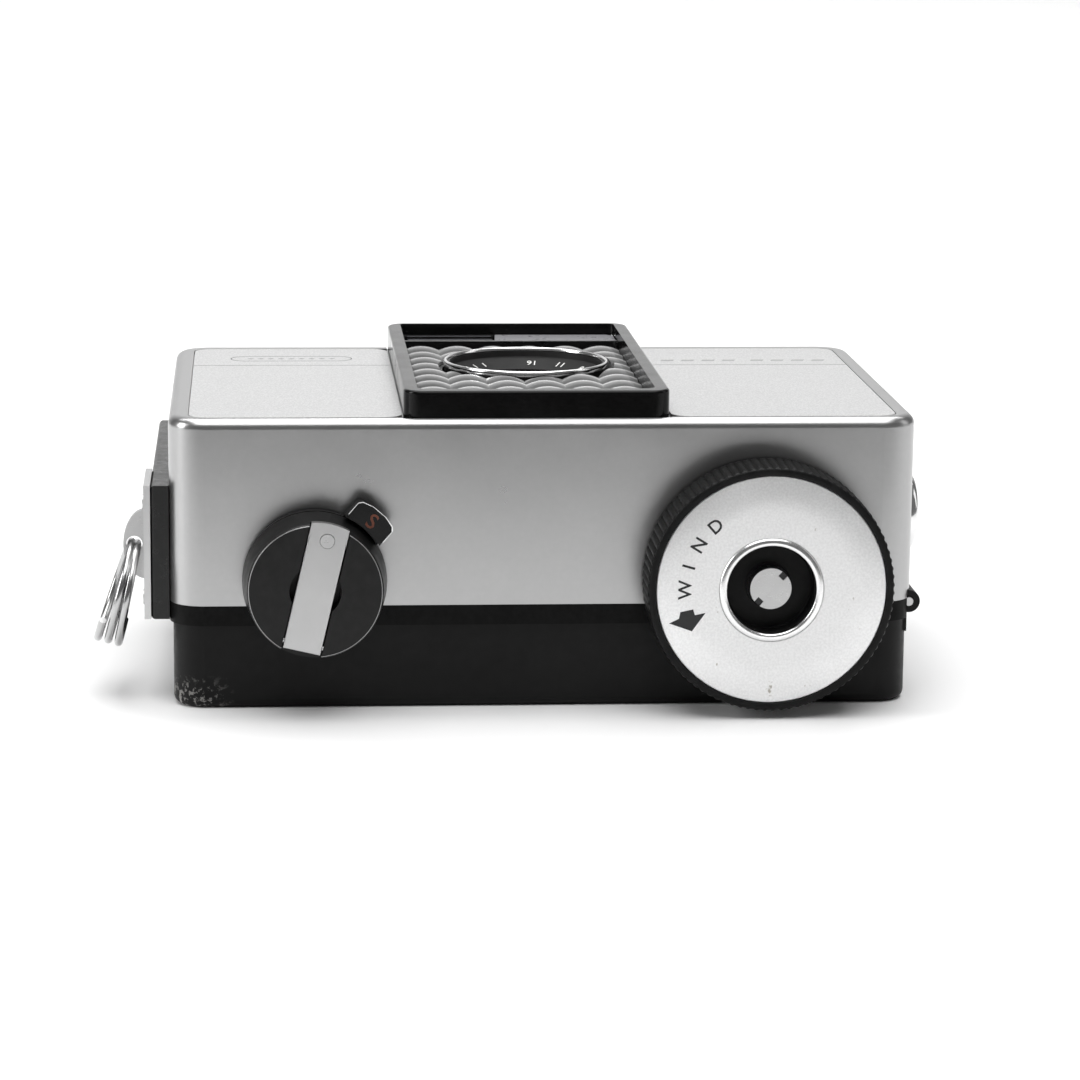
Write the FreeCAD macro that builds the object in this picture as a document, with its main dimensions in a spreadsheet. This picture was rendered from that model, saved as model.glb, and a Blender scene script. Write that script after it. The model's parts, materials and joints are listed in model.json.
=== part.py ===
import FreeCAD, Part
import Sketcher
import math
import os
import re

# A compact half-frame camera with a clockwork film advance, lying on its back cover.
# Frame: +Z is the lens axis, +X runs along the width, +Y points at the camera's top.
# The origin is the centre of the back cover's flat outer face.  Millimetres.

DRIVING = {
    "half_width": 42.5, "half_height": 27.5, "body_depth": 33.4, "corner_radius": 4.0,
    "edge_round": 1.2, "wall": 1.0, "front_wall": 1.2, "recess_depth": 0.35,
    "band_bottom": 9.7, "band_top": 12.0, "cover_gap": 0.05, "cover_inset": 0.4,
    "cover_wall": 1.2, "cover_round": 1.0, "lens_y": 4.9, "film_plane": 5.2,
    "frame_half_width": 9.2, "frame_half_height": 12.2, "chamber_low": -21.0,
    "chamber_high": 24.0, "chamber_radius": 13.0, "chamber_wall": 0.8,
    "wind_x": 25.0, "knob_z": 15.0, "wind_radius": 14.0, "wind_front": -34.6,
    "knob_back": -27.8, "face_disc_radius": 13.0, "hub_radius": 5.0, "arbor_radius": 2.5,
    "barrel_radius": 6.8, "barrel_low": -19.4, "barrel_high": 23.5,
    "sprocket_z": 9.9, "sprocket_radius": 4.5, "gear_low": -18.0, "gear_high": -16.6,
    "rewind_x": -26.1, "rewind_z": 15.1, "rewind_front": -34.4, "rewind_back": -29.3,
    "rewind_front_radius": 7.6, "rewind_back_radius": 8.15, "crank_angle": 13.0,
    "crank_width": 4.3, "crank_thickness": 1.0, "crank_hinge": -6.2, "crank_stud": 5.9,
    "rewind_shaft_radius": 1.9, "lever_angle": 49.0, "lever_radius": 8.15,
    "bezel_left": -16.0, "bezel_right": 14.2, "bezel_low": -26.6, "bezel_high": 27.0,
    "bezel_top": 36.4, "rim_width": 1.6, "finder_low": 20.5, "finder_high": 26.2,
    "bar_width": 0.5, "bar_top": 35.05,
    "window_top": 34.9, "ring_radius": 10.0, "ring_top": 35.2, "barrel_tube_radius": 8.0,
    "shutter_radius": 12.4, "shutter_low": 23.6, "shutter_high": 28.0, "blade_pivot": 9.3,
    "plate_left": -40.15, "plate_right": 40.2, "plate_low": -26.3, "plate_high": 25.0,
    "hinge_x": 42.3, "hinge_z": 11.5, "hinge_radius": 1.3, "hinge_pin_radius": 0.5,
    "groove_radius": 2.2, "knuckle_half": 8.5, "running_gap": 0.05,
    "panel_thickness": 2.1, "panel_low": -24.5, "panel_high": 19.5, "panel_base": 9.9,
    "panel_top": 25.3, "lug_plate_thickness": 0.75, "lug_plate_high": -13.5, "lug_y": -18.5,
    "lug_z": 17.5, "lug_reach": 2.5, "split_ring_radius": 5.8, "ring_wire": 0.8,
    "ring_tilt": 14.0, "socket_y": -16.0, "socket_z": 20.4, "socket_radius": 4.6,
    "socket_reach": 2.0, "button_x": -17.0, "button_z": 28.1, "button_radius": 2.8,
    "button_top": 28.6, "counter_x": 17.5, "counter_z": 22.0, "counter_radius": 6.4,
}

doc = FreeCAD.newDocument("HalfFrameCamera")
sheet = doc.addObject("Spreadsheet::Sheet", "Sizes")
for row, (alias, value) in enumerate(DRIVING.items(), start=1):
    sheet.set("A%d" % row, alias)
    sheet.set("B%d" % row, str(value))
    sheet.setAlias("B%d" % row, alias)
doc.recompute()

NODES = []


def formula(text):
    """An expression in which every driving size is read from the sheet."""
    return re.sub(r"[a-z][a-z_]*", lambda word: named(word.group()), str(text))


def named(word):
    return "Sizes." + word if word in DRIVING else word


def number(text):
    return float(sheet.evalExpression(formula(text)))


def bind(thing, **sizes):
    for prop, text in sizes.items():
        thing.setExpression(prop, formula(text))


def place(thing, x, y, z):
    for axis, text in zip("xyz", (x, y, z)):
        thing.setExpression("Placement.Base." + axis, formula(text))


def node(thing, name):
    """Mark an object as a finished sub-part; its label names its file."""
    thing.Label = name
    NODES.append(thing)
    return thing


def box(x, y, z):
    made = doc.addObject("Part::Box", "Block")
    bind(made, Length="(%s) - (%s)" % (x[1], x[0]), Width="(%s) - (%s)" % (y[1], y[0]),
         Height="(%s) - (%s)" % (z[1], z[0]))
    place(made, x[0], y[0], z[0])
    return made


TURNS = {
    "X": FreeCAD.Rotation(FreeCAD.Vector(0, 1, 0), 90),
    "Y": FreeCAD.Rotation(FreeCAD.Vector(1, 0, 0), -90),
    "Z": FreeCAD.Rotation(),
}


def rod(axis, centre, span, radius, end_radius=None):
    """A cylinder, or a cone where end_radius is given, along X, Y or Z."""
    low, high = span
    length = "(%s) - (%s)" % (high, low)
    if end_radius is None:
        made = doc.addObject("Part::Cylinder", "Rod")
        bind(made, Radius=radius, Height=length)
    else:
        made = doc.addObject("Part::Cone", "Taper")
        bind(made, Radius1=radius, Radius2=end_radius, Height=length)
    made.Placement = FreeCAD.Placement(FreeCAD.Vector(), TURNS[axis])
    a, b = centre
    spots = {"X": (low, a, b), "Y": (a, low, b), "Z": (a, b, low)}
    place(made, *spots[axis])
    return made


def fuse(*pieces):
    made = doc.addObject("Part::MultiFuse", "Joined")
    made.Shapes = list(pieces)
    return made


def cut(base, *tools):
    made = doc.addObject("Part::Cut", "Trimmed")
    made.Base = base
    made.Tool = tools[0] if len(tools) == 1 else fuse(*tools)
    return made


def tube(axis, centre, span, outer, inner):
    low, high = span
    longer = ("%s - 1" % low, "%s + 1" % high)
    return cut(rod(axis, centre, span, outer), rod(axis, centre, longer, inner))


def edge_names(shape, wanted):
    return ["Edge%d" % (i + 1) for i, edge in enumerate(shape.Edges) if wanted(edge)]


def is_upright(edge):
    bounds = edge.BoundBox
    return bounds.ZLength > 0.01 and bounds.XLength < 0.01 and bounds.YLength < 0.01


def slab(x, y, z, corner, rounded=None, at_top=True):
    """A PartDesign body: a rectangle padded up, its corners and one rim rounded."""
    body = doc.addObject("PartDesign::Body", "Slab")
    sketch = body.newObject("Sketcher::SketchObject", "Outline")
    plane = [f for f in body.Origin.OriginFeatures if f.Role == "XY_Plane"][0]
    sketch.AttachmentSupport = [(plane, "")]
    sketch.MapMode = "FlatFace"
    sketch.setExpression("AttachmentOffset.Base.z", formula(z[0]))
    draw_rectangle(sketch, x, y)
    pad = body.newObject("PartDesign::Pad", "Raise")
    pad.Profile = sketch
    pad.setExpression("Length", formula("(%s) - (%s)" % (z[1], z[0])))
    doc.recompute()
    round_edges(body, pad, is_upright, corner)
    if rounded:
        level = number(z[1]) if at_top else number(z[0])
        round_edges(body, body.Tip, lambda edge: lies_at(edge, level), rounded)
    return body


def lies_at(edge, level):
    bounds = edge.BoundBox
    return abs(bounds.ZMin - level) < 0.001 and abs(bounds.ZMax - level) < 0.001


def round_edges(body, feature, wanted, radius):
    fillet = body.newObject("PartDesign::Fillet", "Rounding")
    fillet.Base = (feature, edge_names(feature.Shape, wanted))
    fillet.setExpression("Radius", formula(radius))
    body.Tip = fillet
    doc.recompute()


def draw_rectangle(sketch, x, y):
    left, right, low, high = (number(text) for text in (*x, *y))
    spots = [(left, low), (right, low), (right, high), (left, high)]
    corners = [FreeCAD.Vector(a, b, 0) for a, b in spots]
    for i in range(4):
        sketch.addGeometry(Part.LineSegment(corners[i], corners[(i + 1) % 4]), False)
    for i in range(4):
        sketch.addConstraint(Sketcher.Constraint("Coincident", i, 2, (i + 1) % 4, 1))
        straight = "Horizontal" if i % 2 == 0 else "Vertical"
        sketch.addConstraint(Sketcher.Constraint(straight, i))
    sizes = [
        (Sketcher.Constraint("DistanceX", -1, 1, 0, 1, left), x[0]),
        (Sketcher.Constraint("DistanceY", -1, 1, 0, 1, low), y[0]),
        (Sketcher.Constraint("DistanceX", 0, 1, 0, 2, right - left), "(%s) - (%s)" % (x[1], x[0])),
        (Sketcher.Constraint("DistanceY", 1, 1, 1, 2, high - low), "(%s) - (%s)" % (y[1], y[0])),
    ]
    for constraint, text in sizes:
        index = sketch.addConstraint(constraint)
        sketch.setExpression("Constraints[%d]" % index, formula(text))


def free_shape(shape, position=(0, 0, 0), rotation=None):
    """A shape that neither sketches nor primitives draw, placed after it is set."""
    made = doc.addObject("Part::Feature", "Formed")
    made.Shape = shape
    made.Placement = FreeCAD.Placement(
        FreeCAD.Vector(*position), rotation or FreeCAD.Rotation())
    return made


def toothed_disc(teeth, tip, root, length, bore, share=0.36, lean=0.0):
    """A gear or ratchet blank along +Z: straight-sided teeth on a round root."""
    points = []
    for i in range(teeth):
        middle = 2 * math.pi * i / teeth
        half = math.pi * share / teeth
        for radius, angle in ((root, -1.7 * half), (tip, (lean - 0.7) * half),
                              (tip, (lean + 0.7) * half), (root, 1.7 * half)):
            spot = middle + angle
            points.append(FreeCAD.Vector(radius * math.cos(spot), radius * math.sin(spot), 0))
    outline = Part.Face(Part.makePolygon(points + [points[0]]))
    blank = outline.extrude(FreeCAD.Vector(0, 0, length))
    return blank.cut(Part.makeCylinder(bore, length + 2, FreeCAD.Vector(0, 0, -1)))


def along_y(shape, x, low, z, turn=0.0):
    """Stand a shape drawn along +Z on the +Y axis, turned about it by some degrees."""
    spin = FreeCAD.Rotation(FreeCAD.Vector(0, 0, 1), turn)
    return free_shape(shape, (x, low, z), TURNS["Y"].multiply(spin))


# ---------------------------------------------------------------- casing

SCREW_SPOTS = [("-9.6", "24.6"), ("8.3", "24.6"), ("-9.5", "-24"), ("5", "-24")]
HINGE = ("hinge_x", "hinge_z")
WIND = ("wind_x", "knob_z")
REWIND = ("rewind_x", "rewind_z")
LENS = ("0", "lens_y")
SOCKET = ("socket_y", "socket_z")
BUTTON = ("button_x", "button_z")
COUNTER_SPOT = ("counter_x - 4.2", "counter_z")


def front_housing():
    outer = slab(("-half_width", "half_width"), ("-half_height", "half_height"),
                 ("band_top", "body_depth"), "corner_radius", "edge_round")
    inner = slab(("wall - half_width", "half_width - wall"),
                 ("wall - half_height", "half_height - wall"),
                 ("band_top - 1", "body_depth - front_wall"), "corner_radius - wall")
    recess = slab(("plate_left - 0.1", "plate_right + 0.1"),
                  ("plate_low - 0.1", "plate_high + 0.1"),
                  ("body_depth - recess_depth", "body_depth + 1"), "2.2")
    below, above = "-half_height - 1", "half_height + 1"
    holes = [
        recess,
        rod("Z", LENS, ("body_depth - 2", "body_depth + 1"), "11.6"),
        box(("-6.6", "6.6"), ("22.7", "25.7"), ("body_depth - 2", "body_depth + 1")),
        box(("bezel_left - 0.1", "bezel_right + 0.1"), ("bezel_low - 0.1", above),
            ("body_depth - recess_depth", "body_depth + 1")),
        rod("Y", WIND, (below, "2 - half_height"), "arbor_radius + running_gap"),
        rod("Y", REWIND, (below, "2 - half_height"), "3.05"),
        rod("X", SOCKET, ("half_width - 2", "half_width + 1"), "3.6"),
        rod("Y", BUTTON, ("half_height - 2", above), "4.1"),
        rod("Y", COUNTER_SPOT, ("half_height - 2", above), "2.2"),
        rod("Y", HINGE, ("-25.4", "25.4"), "hinge_radius + 0.2"),
    ]
    shell = cut(outer, inner)
    bosses = [rod("Z", spot, ("band_top", "body_depth - front_wall"), "1.25")
              for spot in SCREW_SPOTS]
    threads = [rod("Z", spot, ("band_top - 1", "band_top + 6"), "0.62")
               for spot in SCREW_SPOTS]
    node(cut(fuse(shell, *bosses), *holes, *threads), "front_housing")


def chamber(x, grow, low, high, floor):
    """The space of one film chamber: a half round with straight sides below it."""
    radius = "chamber_radius + %s" % grow
    return fuse(rod("Y", (x, "knob_z"), (low, high), radius),
                box(("%s - %s" % (x, radius), "%s + %s" % (x, radius)), (low, high),
                    (floor, "knob_z")))


SPROCKET_X = "wind_x - sqrt(12.5 ^ 2 - (knob_z - sprocket_z) ^ 2)"
SPROCKET = (SPROCKET_X, "sprocket_z")


def film_chassis():
    flange = slab(("-half_width", "half_width"), ("-half_height", "half_height"),
                  ("band_bottom", "band_top"), "corner_radius")
    low, high = "chamber_low - chamber_wall", "chamber_high + chamber_wall"
    shells = [chamber(x, "chamber_wall", low, high, "band_bottom")
              for x in ("rewind_x", "wind_x")]
    wells = [rod("Y", SPROCKET, (low, "-7.1"), "6.8"), rod("Y", SPROCKET, ("16.9", "22.2"), "6.8"),
             rod("Y", SPROCKET, (low, high), "3.8")]
    under = box(("-50", "50"), ("-40", "40"), ("-5", "band_bottom"))
    upper = cut(fuse(flange, *shells, *wells), under)
    light_box = box(("-frame_half_width - 1", "frame_half_width + 1"),
                    ("lens_y - frame_half_height - 0.7", "lens_y + frame_half_height + 0.7"),
                    ("film_plane", "21.4"))
    rails = box(("-12", "10.6"), ("-12.8", "22.6"), ("film_plane", "band_bottom + 1"))
    bearings = [box(("11.2", "16"), span, ("7.2", "band_top"))
                for span in ((low, "chamber_low"), ("chamber_high", high))]
    holes = [
        chamber("rewind_x", "0", "chamber_low", "chamber_high", "band_bottom - 1"),
        chamber("wind_x", "0", "chamber_low", "chamber_high", "band_bottom - 1"),
        rod("Y", SPROCKET, ("chamber_low", "-7.9"), "6"),
        rod("Y", SPROCKET, ("17.7", "21.4"), "6"),
        rod("Y", SPROCKET, ("chamber_low", "chamber_high"), "3"),
        box(("-frame_half_width", "frame_half_width"),
            ("lens_y - frame_half_height", "lens_y + frame_half_height"), ("4", "22")),
        rod("Y", SPROCKET, ("chamber_low - 2", "chamber_high + 2"), "1.5 + running_gap"),
        rod("Y", WIND, ("chamber_low - 2", "chamber_low + 1"), "arbor_radius + running_gap"),
        rod("Y", REWIND, ("chamber_low - 2", "chamber_low + 1"),
            "rewind_shaft_radius + running_gap"),
        rod("Y", HINGE, ("-25.4", "25.4"), "groove_radius"),
        box(("-6.7", "6.7"), ("22.7", "25.7"), ("4", "13")),
        box(("-41", "-37"), ("-26", "-24.1"), ("band_bottom - 1", "band_top + 1")),
        rod("Y", WIND, ("-25.9", "-24.1"), "6.2"),
    ]
    holes += [rod("Z", spot, ("band_bottom - 1", "band_top + 1"), "0.62")
              for spot in SCREW_SPOTS]
    frame = cut(fuse(upper, light_box, rails, *bearings), *holes)
    span = ("-knuckle_half", "knuckle_half")
    knuckle = fuse(rod("Y", HINGE, span, "hinge_radius"),
                   box(("39.6", "hinge_x"), span, ("10.3", "band_top")))
    bored = cut(knuckle, rod("Y", HINGE, ("-9", "9"), "hinge_pin_radius + 0.02"))
    stub = rod("Y", WIND, ("chamber_high - 1.1", "chamber_high"), "1.4")
    post = rod("Y", ("counter_x", "counter_z"), (high, "26.2"), "0.75")
    pawl_post = rod("Y", PAWL, ("-25.9", low), "0.7")
    node(fuse(frame, bored, stub, post, pawl_post), "film_chassis")


def back_cover():
    side = ("cover_inset - half_width", "half_width - cover_inset")
    rise = ("cover_inset - half_height", "half_height - cover_inset")
    top = "band_bottom - cover_gap"
    shell = cut(
        slab(side, rise, ("0", top), "corner_radius - cover_inset", "cover_round", at_top=False),
        slab(("%s + cover_wall" % side[0], "%s - cover_wall" % side[1]),
             ("%s + cover_wall" % rise[0], "%s - cover_wall" % rise[1]),
             ("cover_wall", "band_bottom + 1"), "corner_radius - cover_inset - cover_wall"))
    keeper = box(("-40.95", "-40.15"), ("-25.95", "-24.4"), ("7.9", "8.9"))
    knuckles = []
    for span in (("-25", "-knuckle_half - 0.3"), ("knuckle_half + 0.3", "25")):
        knuckles.append(rod("Y", HINGE, span, "hinge_radius"))
        knuckles.append(box(("hinge_x - 1", "hinge_x - 0.2"), span, ("8", "hinge_z")))
    pin_way = rod("Y", HINGE, ("-26", "26"), "hinge_pin_radius + running_gap")
    eyepiece = box(("-4.6", "4.6"), ("23.1", "25.5"), ("-1", "2"))
    node(cut(fuse(shell, keeper, *knuckles), pin_way, eyepiece), "back_cover")
    node(box(("-4.6", "4.6"), ("23.1", "25.5"), ("0.4", "1.2")), "eyepiece_window")
    node(rod("Y", HINGE, ("-25.2", "25.2"), "hinge_pin_radius"), "hinge_pin")
    node(box(("38.9", "40.4"), ("-25", "25"), ("cover_wall", "2.6")), "light_seal")


def face_plates():
    level = ("body_depth - recess_depth", "body_depth")
    rise = ("plate_low", "plate_high")
    node(slab(("plate_left", "bezel_left - 0.15"), rise, level, "2.2"), "left_face_plate")
    node(slab(("bezel_right + 0.25", "plate_right"), rise, level, "2.2"), "right_face_plate")


def lens_bezel():
    """The black frame round the meter window and the finder, with a low bar between them."""
    outer = slab(("bezel_left", "bezel_right"), ("bezel_low", "bezel_high"),
                 ("body_depth - recess_depth", "bezel_top"), "2.2", "0.35")
    inside = ("bezel_left + rim_width", "bezel_right - rim_width")
    through = ("body_depth - 1", "bezel_top + 1")
    main = slab(inside, ("bezel_low + rim_width", "finder_low - bar_width"), through, "1.2")
    finder = slab(inside, ("finder_low", "finder_high"), through, "0.6")
    over_bar = box(inside, ("finder_low - 3", "finder_low + 3"), ("bar_top", "bezel_top + 1"))
    node(cut(outer, main, finder, over_bar), "lens_bezel")


def meter_and_finder():
    hole = rod("Z", LENS, ("body_depth - 2", "bezel_top"), "10.7")
    x = ("bezel_left + rim_width + 0.05", "bezel_right - rim_width - 0.05")
    y = ("bezel_low + rim_width + 0.05", "finder_low - bar_width - 0.05")
    node(cut(slab(x, y, ("body_depth + 0.35", "window_top"), "1.15"), hole), "selenium_window")
    cell = slab(("%s + 0.4" % x[0], "%s - 0.4" % x[1]), ("%s + 0.4" % y[0], "%s - 0.4" % y[1]),
                ("body_depth - recess_depth", "body_depth + 0.3"), "1")
    wide = rod("Z", LENS, ("body_depth - 2", "bezel_top"), "11.6")
    node(cut(cell, wide), "selenium_cell")
    node(tube("Z", LENS, ("body_depth - 0.9", "body_depth + 0.5"), "10.6", "10.15"), "lens_collar")
    node(slab(x, ("finder_low + 0.05", "finder_high - 0.05"),
              ("bar_top - 0.85", "bar_top - 0.05"), "0.55"), "viewfinder_window")
    outer = box(("-6.6", "6.6"), ("22.8", "25.6"), ("band_bottom", "body_depth - front_wall"))
    inner = box(("-6", "6"), ("23.3", "25.1"), ("band_bottom - 1", "body_depth"))
    node(cut(outer, inner), "viewfinder_tube")
    node(box(("-6", "6"), ("23.3", "25.1"), ("14", "15.4")), "viewfinder_lens")
    node(box(("-9", "1"), ("-20.5", "-12"), ("18", "26")), "galvanometer")
    pointer = fuse(box(("-4", "7"), ("-16.5", "-15.9"), ("26.4", "26.7")),
                   rod("Z", ("-4", "-16.2"), ("26.4", "26.9"), "1"))
    node(pointer, "meter_needle")


# ---------------------------------------------------------------- lens and shutter

def shutter():
    solid = fuse(rod("Z", LENS, ("shutter_low", "shutter_high"), "shutter_radius"),
                 rod("Z", LENS, ("21.4", "shutter_low"), "6.4"))
    inside = cut(rod("Z", LENS, ("shutter_low + 1.4", "shutter_high - 1"), "11.8"),
                 *[rod("Z", (side + "blade_pivot", "lens_y"), ("shutter_low", "shutter_high"), "0.5")
                   for side in ("-", "")])
    bore = rod("Z", LENS, ("20", "29"), "5.2")
    node(cut(solid, inside, bore), "shutter_housing")
    for name, side, level in (("shutter_blade_a", -1, 25.4), ("shutter_blade_b", 1, 26.2)):
        node(shutter_blade(side, level), name)


def shutter_blade(side, level):
    """A thin paddle that covers the aperture and swings clear about its pivot."""
    reach = number("blade_pivot")
    thin = 0.3
    paddle = Part.makeCylinder(3.6, thin).fuse(
        Part.makeBox(reach, 2.4, thin, FreeCAD.Vector(min(0, side * reach), -1.2, 0)))
    eye = FreeCAD.Vector(side * reach, 0, 0)
    rounded = paddle.fuse(Part.makeCylinder(1.2, thin, eye))
    drilled = rounded.cut(Part.makeCylinder(0.56, thin * 3, eye - FreeCAD.Vector(0, 0, thin)))
    return free_shape(drilled.removeSplitter(), (0, number("lens_y"), level))


def lens_group():
    barrel = "barrel_tube_radius"
    casing = cut(rod("Z", LENS, ("shutter_high", "32.6"), barrel),
                 rod("Z", LENS, ("27", "34"), "6"))
    node(casing, "lens_barrel")
    node(lens_element(5.95, 30.4, 32.0, 14.0), "front_lens")
    node(lens_element(5.15, 21.8, 22.8, 18.0), "rear_lens")
    node(tube("Z", LENS, ("body_depth - 0.1", "ring_top"), "ring_radius", "9.22"), "lens_ring")
    sleeve = tube("Z", LENS, ("29", "34.6"), "9.2", "barrel_tube_radius + running_gap")
    funnel = cut(rod("Z", LENS, ("32.8", "34.6"), "9.2"),
                 rod("Z", LENS, ("32.79", "34.61"), "6.4", "9.1"))
    node(fuse(sleeve, funnel), "aperture_scale")


def lens_element(radius, low, high, ball):
    """A plano-convex glass: a cylinder under a spherical cap."""
    edge = ball - math.sqrt(ball * ball - radius * radius)
    disc = Part.makeCylinder(radius, high - low)
    cap = Part.makeSphere(ball, FreeCAD.Vector(0, 0, high - low - ball + edge))
    keep = Part.makeCylinder(radius, edge, FreeCAD.Vector(0, 0, high - low))
    return free_shape(disc.fuse(cap.common(keep)).removeSplitter(), (0, number("lens_y"), low))


# ---------------------------------------------------------------- wind side

PAWL = ("17", "20")


def wind_knob():
    front, back = "wind_front", "knob_back"
    ring = cut(rod("Y", WIND, (front, back), "wind_radius - 0.12", "wind_radius + 0.12"),
               rod("Y", WIND, ("%s - 1" % front, "%s + 0.7" % front), "face_disc_radius + 0.02"),
               rod("Y", WIND, (front, "%s + 3" % front), "hub_radius"),
               rod("Y", WIND, (front, "%s + 1" % back), "arbor_radius + 0.01"))
    node(ring, "wind_knob_ring")
    plate = tube("Y", WIND, ("%s + 0.1" % front, "%s + 0.7" % front), "face_disc_radius",
                 "hub_radius")
    lip = tube("Y", WIND, ("%s - 0.15" % front, "%s + 0.3" % front), "hub_radius + 0.7",
               "hub_radius")
    node(fuse(plate, lip), "wind_knob_disc")
    head = rod("Y", WIND, ("%s + 1" % front, "%s + 3.1" % front), "2.3")
    shank = rod("Y", WIND, ("%s + 2" % front, "%s + 7" % front), "1.2")
    slots = [rod("Y", ("wind_x + %s" % d, "knob_z + %s" % d),
                 ("%s" % front, "%s + 1.6" % front), "0.45") for d in ("1.3", "(-1.3)")]
    node(cut(fuse(head, shank), *slots), "wind_knob_screw")
    arbor = cut(rod("Y", WIND, ("%s + 3.1" % front, "21.5"), "arbor_radius"),
                rod("Y", WIND, (front, "%s + 8" % front), "1.22"))
    node(arbor, "wind_arbor")


def winding_train():
    x, z = number("wind_x"), number("knob_z")
    wheel = toothed_disc(12, 5.6, 4.6, 1.2, number("arbor_radius") + 0.02, share=0.5, lean=0.9)
    node(along_y(wheel, x, -25.6, z), "ratchet_wheel")
    node(ratchet_pawl(), "ratchet_pawl")
    shell = cut(rod("Y", WIND, ("barrel_low", "barrel_high"), "barrel_radius"),
                rod("Y", WIND, ("barrel_low - 1", "barrel_high - 1"), "barrel_radius - 0.7"),
                rod("Y", WIND, ("barrel_high - 2", "barrel_high + 1"), "1.45"),
                box(("wind_x - 0.5", "wind_x + 0.5"), ("lens_y - 9", "lens_y + 9"),
                    ("knob_z + barrel_radius - 2", "knob_z + barrel_radius + 1")))
    node(shell, "spring_barrel")
    node(tube("Y", WIND, ("barrel_low - 1", "barrel_low"), "barrel_radius",
              "arbor_radius + running_gap"), "barrel_cap")
    node(along_y(mainspring(), x, -18.4, z), "mainspring")
    length = number("gear_high - gear_low")
    big = toothed_disc(36, 9.35, 8.45, length, number("barrel_radius") + 0.02)
    node(along_y(big, x, number("gear_low"), z, turn=gear_phase(36, 0.5)), "barrel_gear")
    small = toothed_disc(14, 3.85, 2.95, length, 2.02)
    node(along_y(small, number(SPROCKET_X), number("gear_low"), number("sprocket_z"),
                 turn=gear_phase(14, 0.0, back=180.0)), "sprocket_gear")


def gear_phase(teeth, offset, back=0.0):
    """Turn a gear so that a tooth, or a gap at offset 0.5, faces its partner."""
    x = number("wind_x") - number(SPROCKET_X)
    z = number("knob_z") - number("sprocket_z")
    to_partner = math.degrees(math.atan2(z, -x))
    return to_partner + back + offset * 360.0 / teeth


def mainspring():
    """A coiled ribbon between the arbor and the barrel wall, drawn along +Z."""
    turns, steps, first, last, thick = 5, 14, 3.0, 5.7, 0.18
    count = turns * steps

    def edge(shift):
        points = []
        for i in range(count + 1):
            angle = 2 * math.pi * i / steps
            radius = first + shift + (last - first) * i / count
            points.append(FreeCAD.Vector(radius * math.cos(angle), radius * math.sin(angle), 0))
        curve = Part.BSplineCurve()
        curve.interpolate(points)
        return curve.toShape(), points[0], points[-1]

    inner, inner_start, inner_end = edge(0)
    outer, outer_start, outer_end = edge(thick)
    ends = [Part.makeLine(inner_start, outer_start), Part.makeLine(inner_end, outer_end)]
    ribbon = Part.Face(Part.Wire(Part.__sortEdges__([inner, outer] + ends)))
    return ribbon.extrude(FreeCAD.Vector(0, 0, 12))


def ratchet_pawl():
    """A short finger on a post, its tip parked just clear of the ratchet teeth."""
    px, pz = (float(value) for value in PAWL)
    wheel = FreeCAD.Vector(number("wind_x"), 0, number("knob_z"))
    eye = FreeCAD.Vector(px, 0, pz)
    toward = (wheel - eye).normalize()
    across = FreeCAD.Vector(-toward.z, 0, toward.x)
    tip = wheel - toward * 5.95
    outline = [eye + across * 1.2, tip + across * 0.5, tip - across * 0.5, eye - across * 1.2]
    finger = Part.Face(Part.makePolygon(outline + [outline[0]])).extrude(FreeCAD.Vector(0, 1, 0))
    axis = FreeCAD.Vector(0, 1, 0)
    hub = Part.makeCylinder(1.5, 1, eye, axis)
    hole = Part.makeCylinder(0.75, 3, eye - axis, axis)
    return free_shape(finger.fuse(hub).cut(hole), (0, -25.5, 0))


def film_transport():
    x, z = number(SPROCKET_X), number("sprocket_z")
    low, high = number("chamber_low"), number("chamber_high")
    shaft = Part.makeCylinder(2.0, high - low - 0.8, FreeCAD.Vector(0, 0, low + 0.4))
    journal = Part.makeCylinder(1.5, high - low + 0.8, FreeCAD.Vector(0, 0, low - 0.5))
    solid = shaft.fuse(journal)
    for middle in (-14.1, 14.1):
        rim = toothed_disc(6, 5.3, number("sprocket_radius"), 2.4, 1.0, share=0.2)
        round_ = Part.makeCylinder(number("sprocket_radius"), 2.4)
        rim = rim.fuse(round_)
        rim.translate(FreeCAD.Vector(0, 0, number("lens_y") + middle - 1.2))
        solid = solid.fuse(rim)
    node(along_y(solid.removeSplitter(), x, 0, z, turn=15), "film_sprocket")
    disc = cut(rod("Y", ("counter_x", "counter_z"), ("25.2", "26"), "counter_radius"),
               rod("Y", ("counter_x", "counter_z"), ("24", "27"), "0.8"))
    node(disc, "frame_counter_disc")
    node(rod("Y", COUNTER_SPOT, ("26.6", "27.3"), "2.18"), "counter_window")


def pressure_plate():
    node(slab(("-12", "10.8"), ("-12.4", "22.2"), ("4.1", "4.9"), "1"), "pressure_plate")
    ends = [FreeCAD.Vector(-10, 0, 1.2), FreeCAD.Vector(-0.6, 0, 3.6), FreeCAD.Vector(8.8, 0, 1.2)]
    thick = FreeCAD.Vector(0, 0, 0.3)
    lower = Part.Arc(*ends).toShape()
    upper = Part.Arc(*[spot + thick for spot in ends]).toShape()
    sides = [Part.makeLine(spot, spot + thick) for spot in (ends[0], ends[2])]
    strip = Part.Face(Part.Wire(Part.__sortEdges__([lower, upper] + sides)))
    node(free_shape(strip.extrude(FreeCAD.Vector(0, 8, 0)), (0, 0.9, 0)), "pressure_spring")


# ---------------------------------------------------------------- rewind side

def on_knob(shape):
    """Turn a shape drawn upright about the rewind axis to the crank's lean."""
    spin = FreeCAD.Rotation(FreeCAD.Vector(0, 1, 0), number("crank_angle"))
    return free_shape(shape, (number("rewind_x"), 0, number("rewind_z")), spin)


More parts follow.
